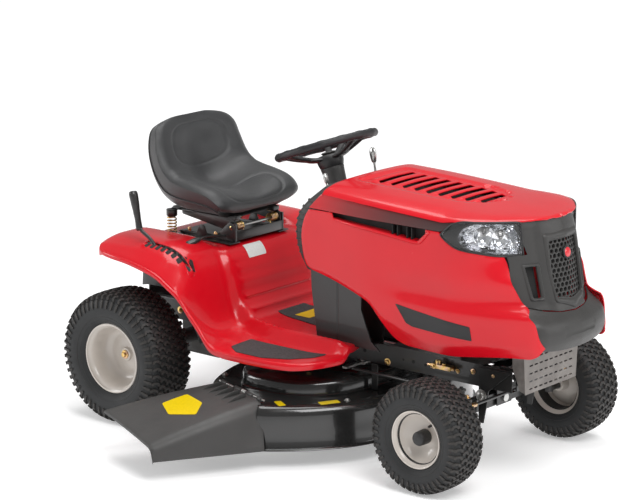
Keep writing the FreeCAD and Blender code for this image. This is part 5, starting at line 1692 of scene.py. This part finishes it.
piece("seat_pan_pressing", pan(), "seat", FRAME_BLACK, slot="frame_black", bevel=1.0, angle=50,
      replaces=("seat_pan",))
HINGE = Shape()
for FLIP in (-1, 1):
    bolt_head(HINGE, (FLIP * 118, HINGE_Y, HINGE_Z), (FLIP, 0, 0), 8, 6)
    bolt_head(HINGE, (FLIP * RAIL_FACE, 470, 616), (FLIP, 0, 0), 5.5, 4)
    bolt_head(HINGE, (FLIP * RAIL_FACE, 590, 616), (FLIP, 0, 0), 5.5, 4)
piece("seat_hinge_bolts", HINGE, "chassis", YELLOW_ZINC, bevel=0.4, angle=50)
TORSION = Shape()
for FLIP in (-1, 1):
    coil(TORSION, (FLIP * 70, 406, 646), (FLIP * 104, 406, 646), 13, 2.6, 5)
    TORSION.tube(rounded([(FLIP * 104, 406, 659), (FLIP * 106, 440, 662), (FLIP * 96, 470, 668)], 10), 2.6, 8)
    TORSION.tube(rounded([(FLIP * 70, 400, 634), (FLIP * 70, 392, 618), (FLIP * 70, 410, 604)], 8), 2.6, 8)
piece("seat_torsion_springs", TORSION, "chassis", YELLOW_ZINC, angle=60)
CROSS = Shape().lathe([(-116, 0.5), (-116, 5), (116, 5), (116, 0.5)], (0, HINGE_Y, HINGE_Z), "X", 20)
piece("seat_hinge_pin", CROSS, "chassis", ZINC, bevel=0.5)
BRACKETS = Shape()
for FLIP in (-1, 1):
    BRACKETS.slab(soft([(386, 592), (640, 592), (640, 606), (470, 612), (430, 650), (412, 664), (396, 660),
                        (386, 640)],
                       7, 3), FLIP * 121, FLIP * 125, "X")
    BRACKETS.slab(soft([(386, 592), (640, 592), (640, 596), (386, 596)], 1, 2), FLIP * 100, FLIP * 152, "X")
    BRACKETS.slab(soft([(500, 596), (560, 596), (540, 640), (520, 640)], 6, 3), FLIP * 132, FLIP * 136, "X")
BRACKETS.box((-122, 386, 600), (122, 392, 632))
piece("seat_brackets", BRACKETS, "chassis", FRAME_BLACK, bevel=0.8, angle=50)


def hand_grip(path, sizes, tone=1, flat=0.85):
    return Shape().tube(spline(path, 5), spread_sizes(sizes, 5), 20, flat=flat, tone=tone)


def spread_sizes(sizes, steps):
    out = []
    for a, b in zip(sizes, sizes[1:]):
        out += [a + (b - a) * smooth(k / steps) for k in range(steps)]
    return out + [sizes[-1]]


LATCH = Shape().tube(rounded([(-131.5, 425, 617), (-215, 436, 628), (-262, 452, 618)], 20), 4.2, 12)
LATCH.include(hand_grip([(-236, 443, 624), (-244, 446, 621), (-262, 452, 615), (-280, 459, 610),
                         (-290, 462, 607), (-293, 463, 606)], [6, 10, 12.5, 12, 9, 3]))
piece("seat_latch_arm", LATCH, "seat_latch", [FRAME_BLACK, GRIP], replaces=("seat_lever",), angle=60)


def lift_handle():
    """Cross shaft, deck arms and the hand lever with its moulded grip."""
    shape = Shape().lathe([(-366, 0.5), (-366, 9.5), (158, 9.5), (158, 0.5)], (0, 330, 312), "X", 28)
    for flip in (-1, 1):
        shape.slab(soft([(222, 299), (230, 296), (326, 303), (342, 318), (332, 326), (226, 309)], 5, 3),
                   flip * 144 - 3, flip * 144 + 3, "X")
    path = rounded([(-360, 330, 312), (-360, 440, 468), (-360, 551, 624), (-360, 606, 652),
                    (-360, 615, 690)], 26, 5)
    shape.tube(path, 6.2, 16)
    shape.include(hand_grip([(-360, 606, 650), (-360, 609, 656), (-360, 614, 684), (-360, 620, 712),
                             (-360, 627, 744), (-360, 633, 768), (-360, 636, 778), (-360, 636.4, 780)],
                            [8, 12.5, 11.5, 13, 15.5, 16.5, 14, 5]))
    return shape


piece("lift_handle", lift_handle(), "lift", [FRAME_BLACK, GRIP], replaces=("lift_lever",), angle=50)


def pedal_pad():
    plate = Shape().slab(soft([(-45, -34), (45, -34), (45, 34), (-45, 34)], 9, 4), -3, 4, "Z", tone=0)
    for k in range(6):
        plate.slab(soft([(-40, -30 + k * 11), (40, -30 + k * 11), (40, -24 + k * 11), (-40, -24 + k * 11)],
                        2, 2),
                   4, 7.5, "Z", tone=1)
    turn = Matrix.Rotation(math.radians(65), 3, "X")
    plate.points = [turn @ p + Vector((341, -349, 436)) for p in plate.points]
    return plate


ARM = Shape().lathe([(135, 0.5), (135, 6), (346, 6), (346, 0.5)], (0, -200, 290), "X", 20)
ARM.tube(rounded([(341, -200, 290), (341, -300, 288), (341, -345, 296), (341, -347, 430)], 26, 5), 7, 14)
piece("pedal_arm", ARM, "pedal", FRAME_BLACK, replaces=("brake_pedal",), angle=50)
piece("pedal_pad", pedal_pad(), "pedal", [FRAME_BLACK, GRIP], bevel=0.6, angle=50)


# ---------------------------------------------------------------- mower deck and chute

DECK_LINE = [(-545, -72), (-515, -118), (-425, -212), (-300, -290), (-150, -328), (0, -334), (150, -328),
             (300, -290),
             (425, -205), (478, -80), (480, 120), (430, 235), (330, 305), (200, 338), (0, 348), (-200, 338),
             (-350, 290), (-440, 235), (-470, 205)]
DECK_SIDE = [(5, 61), (9, 60), (11, 62), (9, 65), (2, 67), (0, 72), (-2, 120), (-4, 172), (-7, 184),
             (-13, 193), (-22, 199), (-30, 201)]


def deck_loop(grow=0.0):
    line = curve(DECK_LINE, 6)
    out = []
    for index, (x, y) in enumerate(line):
        before, after = line[max(0, index - 1)], line[min(len(line) - 1, index + 1)]
        along = Vector((after[0] - before[0], after[1] - before[1]))
        along.normalize()
        out.append((x + along.y * grow, y - along.x * grow))
    return out


def deck_top_point(x, y):
    z = 201.0
    for side in (-1, 1):
        reach = math.hypot(x - side * 231, y - 10)
        z += 5 * smooth((190 - reach) / 26)
    return Vector((x, y, min(z, 206)))


def deck_body():
    rows = [[Vector((x, y, z)) for x, y in deck_loop(grow)] for grow, z in DECK_SIDE]
    shape = wall(rows, 2.4, (0, 0, 1))
    loop = deck_loop(-29)
    shape.include(skin(loop, 16, deck_top_point, 2.4, (0, 0, 1)))
    return shape


def cover_body():
    line = curve([(-402, 60), (-385, -70), (-300, -170), (-150, -222), (150, -222), (300, -170), (360, -60),
                  (350, 90), (240, 190), (-240, 196), (-370, 150)], 6, True)
    rows = []
    for share, z in ((1.0, 202), (1.0, 206), (0.985, 209), (0.98, 236), (0.972, 243), (0.955, 248),
                     (0.93, 250),
                     (0.6, 251), (0.25, 251)):
        rows.append([Vector((x * share, y * share, z)) for x, y in line])
    shape = Shape().grid(rows, wrap=True)
    shape.faces.append([len(shape.points) - len(line) + k for k in range(len(line))])
    shape.tones.append(0)
    return thicken(shape.points, shape.faces, 2.2, (0, 0, 1))


piece("deck_pressing", deck_body(), "deck", DECK_BLACK, slot="deck_black", bevel=0.7, angle=50,
      replaces=("deck_shell",))
piece("deck_cover", cover_body(), "deck", DECK_BLACK, slot="deck_black", angle=35, replaces=("belt_cover",))
DECK_BOLTS = Shape()
for X, Y in ((-300, -245), (-120, -285), (120, -285), (300, -245), (-330, 255), (330, 255), (0, 300)):
    bolt_head(DECK_BOLTS, (X, Y, 202), (0, 0, 1), 7, 5)
piece("deck_bolts", DECK_BOLTS, "deck", ZINC, bevel=0.4, angle=50)
for INDEX, (X, Y, TURN, BIG) in enumerate(((-352, -212, -28, 26), (-462, -98, 60, 20))):
    C, S = math.cos(math.radians(TURN)), math.sin(math.radians(TURN))
    CORNERS = [(-BIG * 1.3, -BIG * 0.6), (BIG * 1.3, -BIG * 0.6), (BIG * 1.3, BIG * 0.6),
               (-BIG * 1.3, BIG * 0.6)]
    SPOTS = [(X + a * C - b * S, Y + a * S + b * C) for a, b in CORNERS]
    piece("deck_label_%d" % INDEX, skin(soft(SPOTS, 4, 3), 12, lambda a, b: deck_top_point(a, b)
                                        + Vector((0, 0, 0.9)), 0.5, (0, 0, 1)), "deck", YELLOW_LABEL)

HINGE_FRONT, HINGE_BACK = Vector((-505, -59, 212)), Vector((-425, 187, 212))
CHUTE_FRONT, CHUTE_BACK = Vector((-868, 88, 118)), Vector((-758, 398, 152))
CHUTE_FOOT, CHUTE_TOE = Vector((-552, -110, 66)), Vector((-870, 76, 70))


def chute_point(share, path):
    """A point of the chute's section at a share of the way out from the hinge."""
    back = HINGE_BACK.lerp(CHUTE_BACK, share)
    crest = HINGE_FRONT.lerp(CHUTE_FRONT, share)
    foot = CHUTE_FOOT.lerp(CHUTE_TOE, share)
    sag = 4 * share * (1 - share)
    crest = crest + Vector((-10, -14, 10)) * sag
    back = back + Vector((0, 0, 6)) * sag
    corner = rounded([back, crest, foot], 34, 8)
    if path <= 0.6:
        return corner[0].lerp(corner[1], path / 0.6) + Vector((0, 0, 3.0 * math.sin(math.pi * path / 0.6)))
    if path <= 0.8:
        place = (path - 0.6) / 0.2 * 8
        low = min(7, int(place))
        return corner[1 + low].lerp(corner[2 + low], place - low)
    return corner[-2].lerp(corner[-1], (path - 0.8) / 0.2)


def chute_body():
    rows = []
    for k in range(33):
        share = k / 32
        row = [chute_point(share, 0.6 * j / 14) for j in range(14)]
        row += [chute_point(share, 0.6 + 0.2 * j / 8) for j in range(8)]
        row += [chute_point(share, 0.8 + 0.2 * j / 7) for j in range(8)]
        first = row[0] + Vector((2, 3, -14))
        rows.append([first] + row)
    lip = [p + Vector((-1.5, 1, -7)) for p in rows[-1]]
    return wall(rows + [lip], 4.0, (-0.3, -0.4, 1))


def chute_ribs():
    """Fins on the roof beside the hinge."""
    shape = Shape()
    for spot in (0.10, 0.20, 0.30, 0.40, 0.50):
        low = [chute_point(share, spot) for share in (0.045, 0.10, 0.16, 0.215)]
        rise = (13, 14, 9, 0.5)
        across = (HINGE_FRONT - HINGE_BACK).normalized() * 1.6
        rows = [[p - across - Vector((0, 0, 2)), p + across - Vector((0, 0, 2)),
                 p + across * 0.7 + Vector((0, 0, r)), p - across * 0.7 + Vector((0, 0, r))]
                for p, r in zip(low, rise)]
        shape.grid(rows, wrap=True, caps=True)
    return shape


def chute_hinge():
    shape = Shape()
    ahead = HINGE_FRONT - HINGE_BACK
    for low, high in ((0.02, 0.14), (0.34, 0.5), (0.62, 0.78), (0.9, 0.98)):
        shape.tube([HINGE_BACK + ahead * low + Vector((4, 2, 2)),
                    HINGE_BACK + ahead * high + Vector((4, 2, 2))], 7, 16)
    return shape


piece("chute_moulding", chute_body(), "chute", CHUTE, slot="dark_plastic", bevel=1.0, angle=50,
      replaces=("discharge_chute",))
piece("chute_ribs", chute_ribs(), "chute", CHUTE, slot="dark_plastic", bevel=0.5, angle=50)
piece("chute_knuckles", chute_hinge(), "chute", CHUTE, slot="dark_plastic", bevel=0.8, angle=50)
ROD = Shape().tube([HINGE_BACK + Vector((4, 10, 2)), HINGE_FRONT + Vector((4, -6, 2))], 3.0, 12)
coil(ROD, HINGE_BACK.lerp(HINGE_FRONT, 0.51) + Vector((4, 2, 2)), HINGE_BACK.lerp(HINGE_FRONT, 0.61)
     + Vector((4, 2, 2)), 6, 1.3, 5)
piece("chute_rod", ROD, "deck", ZINC, angle=50)


def chute_label():
    """Blank five-sided sticker on the roof of the chute."""
    corners = [(0.36, 0.12), (0.60, 0.16), (0.66, 0.36), (0.50, 0.50), (0.36, 0.36)]
    outline = soft([(a * 100, b * 100) for a, b in corners], 2, 3)
    return skin(outline, 4, lambda a, b: chute_point(a / 100, b / 100) + Vector((0, 0, 1.2)), 0.5, (0, 0, 1))


piece("chute_label", chute_label(), "chute", YELLOW_LABEL)


# ---------------------------------------------------------------- frame, engine and small parts

FRAME_BOLTS = Shape()
for FLIP in (-1, 1):
    for Y, Z, SIZE in ((-276, 299, 8), (-620, 330, 6), (-700, 330, 6), (-560, 320, 5), (60, 320, 7),
                       (250, 320, 7),
                       (520, 320, 8), (640, 320, 8), (760, 320, 6)):
        bolt_head(FRAME_BOLTS, (FLIP * RAIL_FACE, Y, Z), (FLIP, 0, 0), SIZE, SIZE * 0.7)
piece("frame_fixings", FRAME_BOLTS, "chassis", YELLOW_ZINC, bevel=0.4, angle=50)
# Flat near-black discs on the rails: painted shade for the holes in the frame.
HOLES = Shape()
for FLIP in (-1, 1):
    for Y, Z, SIZE in ((-455, 316, 5), (-430, 316, 5), (-380, 318, 6), (-340, 318, 4), (-180, 320, 6),
                       (400, 322, 6)):
        HOLES.lathe([(0, 0.4), (0, SIZE), (0.6, SIZE), (0.6, 0.4)], (FLIP * 130.1, Y, Z), (FLIP, 0, 0), 20)
piece("frame_holes", HOLES, "chassis", BLACK_AND_PAINTED_SHADE)
VALVE = Shape().box((-158, -548, 322), (-134, -470, 336))
VALVE.tube([(-150, -560, 329), (-150, -455, 329)], 5.5, 14)
VALVE.lathe([(0, 1), (0, 10), (14, 10), (14, 1)], (-152, -498, 336), "Z", 20)
bolt_head(VALVE, (-152, -520, 336), (0, 0, 1), 6, 5)
bolt_head(VALVE, (-158, -484, 329), (-1, 0, 0), 5.5, 5)
piece("oil_drain", VALVE, "chassis", YELLOW_ZINC, bevel=0.8, angle=50)
AXLE_BOLTS = Shape()
for FLIP in (-1, 1):
    bolt_head(AXLE_BOLTS, (FLIP * 144, -661, 262), (FLIP, 0, 0), 13, 8)
piece("bracket_nuts", AXLE_BOLTS, "chassis", ZINC, bevel=0.6, angle=50)
STUDS = Shape()
for FLIP in (-1, 1):
    bolt_head(STUDS, (FLIP * 285, -711, 297), (0, 0, 1), 7, 7)
    STUDS.lathe([(0, 1), (0, 12), (4, 13.5), (14, 13.5), (18, 11), (18, 1)], (FLIP * 285, -711, 250), "Z", 28)
    STUDS.tube([(FLIP * 273, -711, 265), (FLIP * 240, -711, 265)], 8.0, 14)
piece("tie_rod_ends", STUDS, "tie_rod_body", YELLOW_ZINC, bevel=0.5, angle=50)


def engine_fins():
    """Cooling fins round the cylinder."""
    shape = Shape()
    for k in range(9):
        y = -618 + k * 9
        shape.slab(soft([(-92, 420), (92, 420), (92, 548), (-92, 548)], 10, 4), y, y + 3.2, "Y")
    return shape


piece("engine_fins", engine_fins(), "chassis", ALLOY, bevel=0.5, angle=50)
SCREEN = Shape().lathe([(0, 1), (0, 78), (4, 82), (14, 80), (19, 70), (21, 20), (21, 1)], (0, -440, 694),
                       "Z", 64)
for K in range(24):
    A = 2 * math.pi * K / 24
    SCREEN.tube([(26 * math.cos(A), -440 + 26 * math.sin(A), 716),
                 (68 * math.cos(A), -440 + 68 * math.sin(A), 714)], 2, 6)
piece("blower_screen", SCREEN, "chassis", BLACK_PLASTIC, bevel=0.5, angle=50)
CLEANER = Shape().slab(soft([(126, -560), (196, -560), (196, -420), (126, -420)], 18, 5), 600, 690, "Z")
piece("air_cleaner", CLEANER, "chassis", BLACK_PLASTIC, bevel=4, segments=4, angle=50)
BATTERY = Shape().slab(soft([(-96, 452), (96, 452), (96, 572), (-96, 572)], 6, 4), 400, 560, "Z")
piece("battery", BATTERY, "chassis", BLACK_PLASTIC, bevel=3, segments=3, angle=50)
TERMINALS = Shape()
for X in (-70, 70):
    TERMINALS.lathe([(0, 1), (0, 9), (14, 8), (14, 1)], (X, 472, 560), "Z", 24)
piece("battery_posts", TERMINALS, "chassis", ZINC, bevel=0.5)
FILLER = Shape().lathe([(0, 1), (0, 34), (8, 36), (22, 35), (26, 30), (27, 1)], (88, -108, 790), "Z", 48)
for K in range(24):
    A = 2 * math.pi * K / 24
    FILLER.tube([(88 + 35.5 * math.cos(A), -108 + 35.5 * math.sin(A), 797),
                 (88 + 35.5 * math.cos(A), -108 + 35.5 * math.sin(A), 812)], 1.8, 6)
piece("fuel_cap", FILLER, "chassis", BLACK_PLASTIC, bevel=0.6, angle=50)
HEADERS = Shape().tube(rounded([(-60, -600, 480), (-60, -640, 476), (-40, -668, 470)], 20), 13, 20)
HEADERS.tube(rounded([(60, -660, 440), (100, -700, 430), (120, -760, 420)], 24), 15, 20)
piece("exhaust_pipe", HEADERS, "chassis", BURNT, angle=50)
HITCH = Shape()
for X in (-100, 100):
    for Z in (275, 375):
        bolt_head(HITCH, (X, 791, Z), (0, 1, 0), 8, 6)
piece("hitch_bolts", HITCH, "chassis", YELLOW_ZINC, bevel=0.4, angle=50)
REAR_FINS = Shape()
for K in range(8):
    REAR_FINS.slab(soft([(-110, 560), (110, 560), (110, 680), (-110, 680)], 14, 4), 312 + K * 7,
                   315 + K * 7, "Z")
piece("transaxle_fins", REAR_FINS, "chassis", ALLOY, bevel=0.5, angle=50)


# ---------------------------------------------------------------- CAD nodes that stay

KEPT = {
    "frame_rails": (FRAME_BLACK, 1.2), "cross_members": (FRAME_BLACK, 1.0), "hitch_plate": (FRAME_BLACK, 1.2),
    "axle_brackets": (FRAME_BLACK, 1.0), "frame_bolts": (ZINC, 0.6), "muffler_guard": (GUARD, 0.5),
    "engine_block": (ALLOY, 2.0), "blower_housing": (BLACK_PLASTIC, 3.0), "engine_muffler": (BURNT, 4.0),
    "fuel_tank": (TANK, 6.0), "engine_pulley": (STEEL, 0.8), "transaxle": (CAST, 3.0),
    "tower_panels": (FRAME_BLACK, 1.2), "seat_base": (FRAME_BLACK, 1.0), "notch_plate": (FRAME_BLACK, 0.5),
    "axle_beam": (FRAME_BLACK, 2.0), "steering_knuckle_right": (CAST, 1.5),
        "steering_knuckle_left": (CAST, 1.5),
    "tie_rod": (FRAME_BLACK, 0.5), "drag_link": (FRAME_BLACK, 0.5), "steering_sector": (STEEL, 0.5),
    "steering_shaft": (STEEL, 0.5), "hood_hinge_arms": (FRAME_BLACK, 0.8), "blade_right": (STEEL, 0.5),
    "blade_left": (STEEL, 0.5), "spindle_pulley_right": (STEEL, 0.8), "spindle_pulley_left": (STEEL, 0.8),
    "spindle_housings": (CAST, 2.0), "deck_belt": (BELT, 0.6), "deck_links": (FRAME_BLACK, 0.6),
}
for NODE, (MATERIAL, ROUND) in KEPT.items():
    keep(NODE, MATERIAL, ROUND)


# ---------------------------------------------------------------- studio

def look(name, spot, target, size, power, colour=(1, 1, 1), tall=None, shape="RECTANGLE"):
    """A soft area light at a spot, turned towards a target."""
    data = bpy.data.lights.new(name, "AREA")
    data.shape = shape
    data.size = size
    data.size_y = tall or size
    data.energy = power
    data.color = colour
    light = bpy.data.objects.new(name, data)
    light.location = spot
    light.rotation_euler = (Vector(target) - Vector(spot)).to_track_quat("-Z", "Y").to_euler()
    scene.collection.objects.link(light)
    return light


def floor():
    shape = Shape().add([(-40000, -40000, -1), (40000, -40000, -1), (40000, 40000, -1), (-40000, 40000, -1)],
                        [[0, 1, 2, 3]])
    ground = raw("floor", shape)
    nodes = Nodes("floor")
    tone = nodes.ramp(nodes.noise(0.4, 3.0), [(0.3, (0.86, 0.86, 0.865)), (0.7, (0.88, 0.88, 0.88))])
    away = nodes.add("ShaderNodeTexGradient", gradient_type="SPHERICAL")
    nodes.join(nodes.stretched((0.15, 0.15, 0.15)), away.inputs["Vector"])
    glow = nodes.spread(away.outputs["Fac"], 0.72, 0.34, 0.0, 0.5)
    nodes.set(Base_Color=tone, Roughness=nodes.spread(nodes.noise(3.0), 0.85, 0.95), Specular_IOR_Level=0.1,
              Emission_Color=(1, 1, 1, 1), Emission_Strength=glow,
              Normal=nodes.bump(nodes.noise(60.0), 0.0002, 0.1))
    ground.data.materials.append(nodes.material)


def camera():
    data = bpy.data.cameras.new("camera")
    data.sensor_width = 36
    data.lens = 145.24
    data.shift_x = 0.0029
    data.shift_y = 0.0016
    data.clip_end = 200
    eye = bpy.data.objects.new("camera", data)
    eye.location = (-6.3856, -5.2083, 2.5835)
    yaw, pitch, roll = 0.8732346, 0.2358855, -0.003093
    eye.rotation_euler = (Matrix.Rotation(-yaw, 3, "Z") @ Matrix.Rotation(math.pi / 2 - pitch, 3, "X")
                          @ Matrix.Rotation(roll, 3, "Z")).to_euler()
    scene.collection.objects.link(eye)
    scene.camera = eye


def world():
    sky = bpy.data.worlds.new("studio")
    sky.use_nodes = True
    back = next(n for n in sky.node_tree.nodes if n.type == "BACKGROUND")
    back.inputs["Color"].default_value = (1.0, 1.0, 1.0, 1)
    back.inputs["Strength"].default_value = 0.36
    scene.world = sky


scene.view_settings.view_transform = "Standard"
floor()
camera()
world()
look("key", (-1.6, -3.4, 4.6), (0, 0, 0.4), 2.8, 190)
look("over", (0.8, 0.6, 5.2), (0, 0, 0.4), 3.4, 150)
look("rear_left", (-3.6, 5.2, 2.3), (-0.2, 0, 0.6), 1.9, 110, tall=2.6)
look("front", (2.2, -5.4, 2.4), (0, -0.5, 0.5), 2.4, 60)
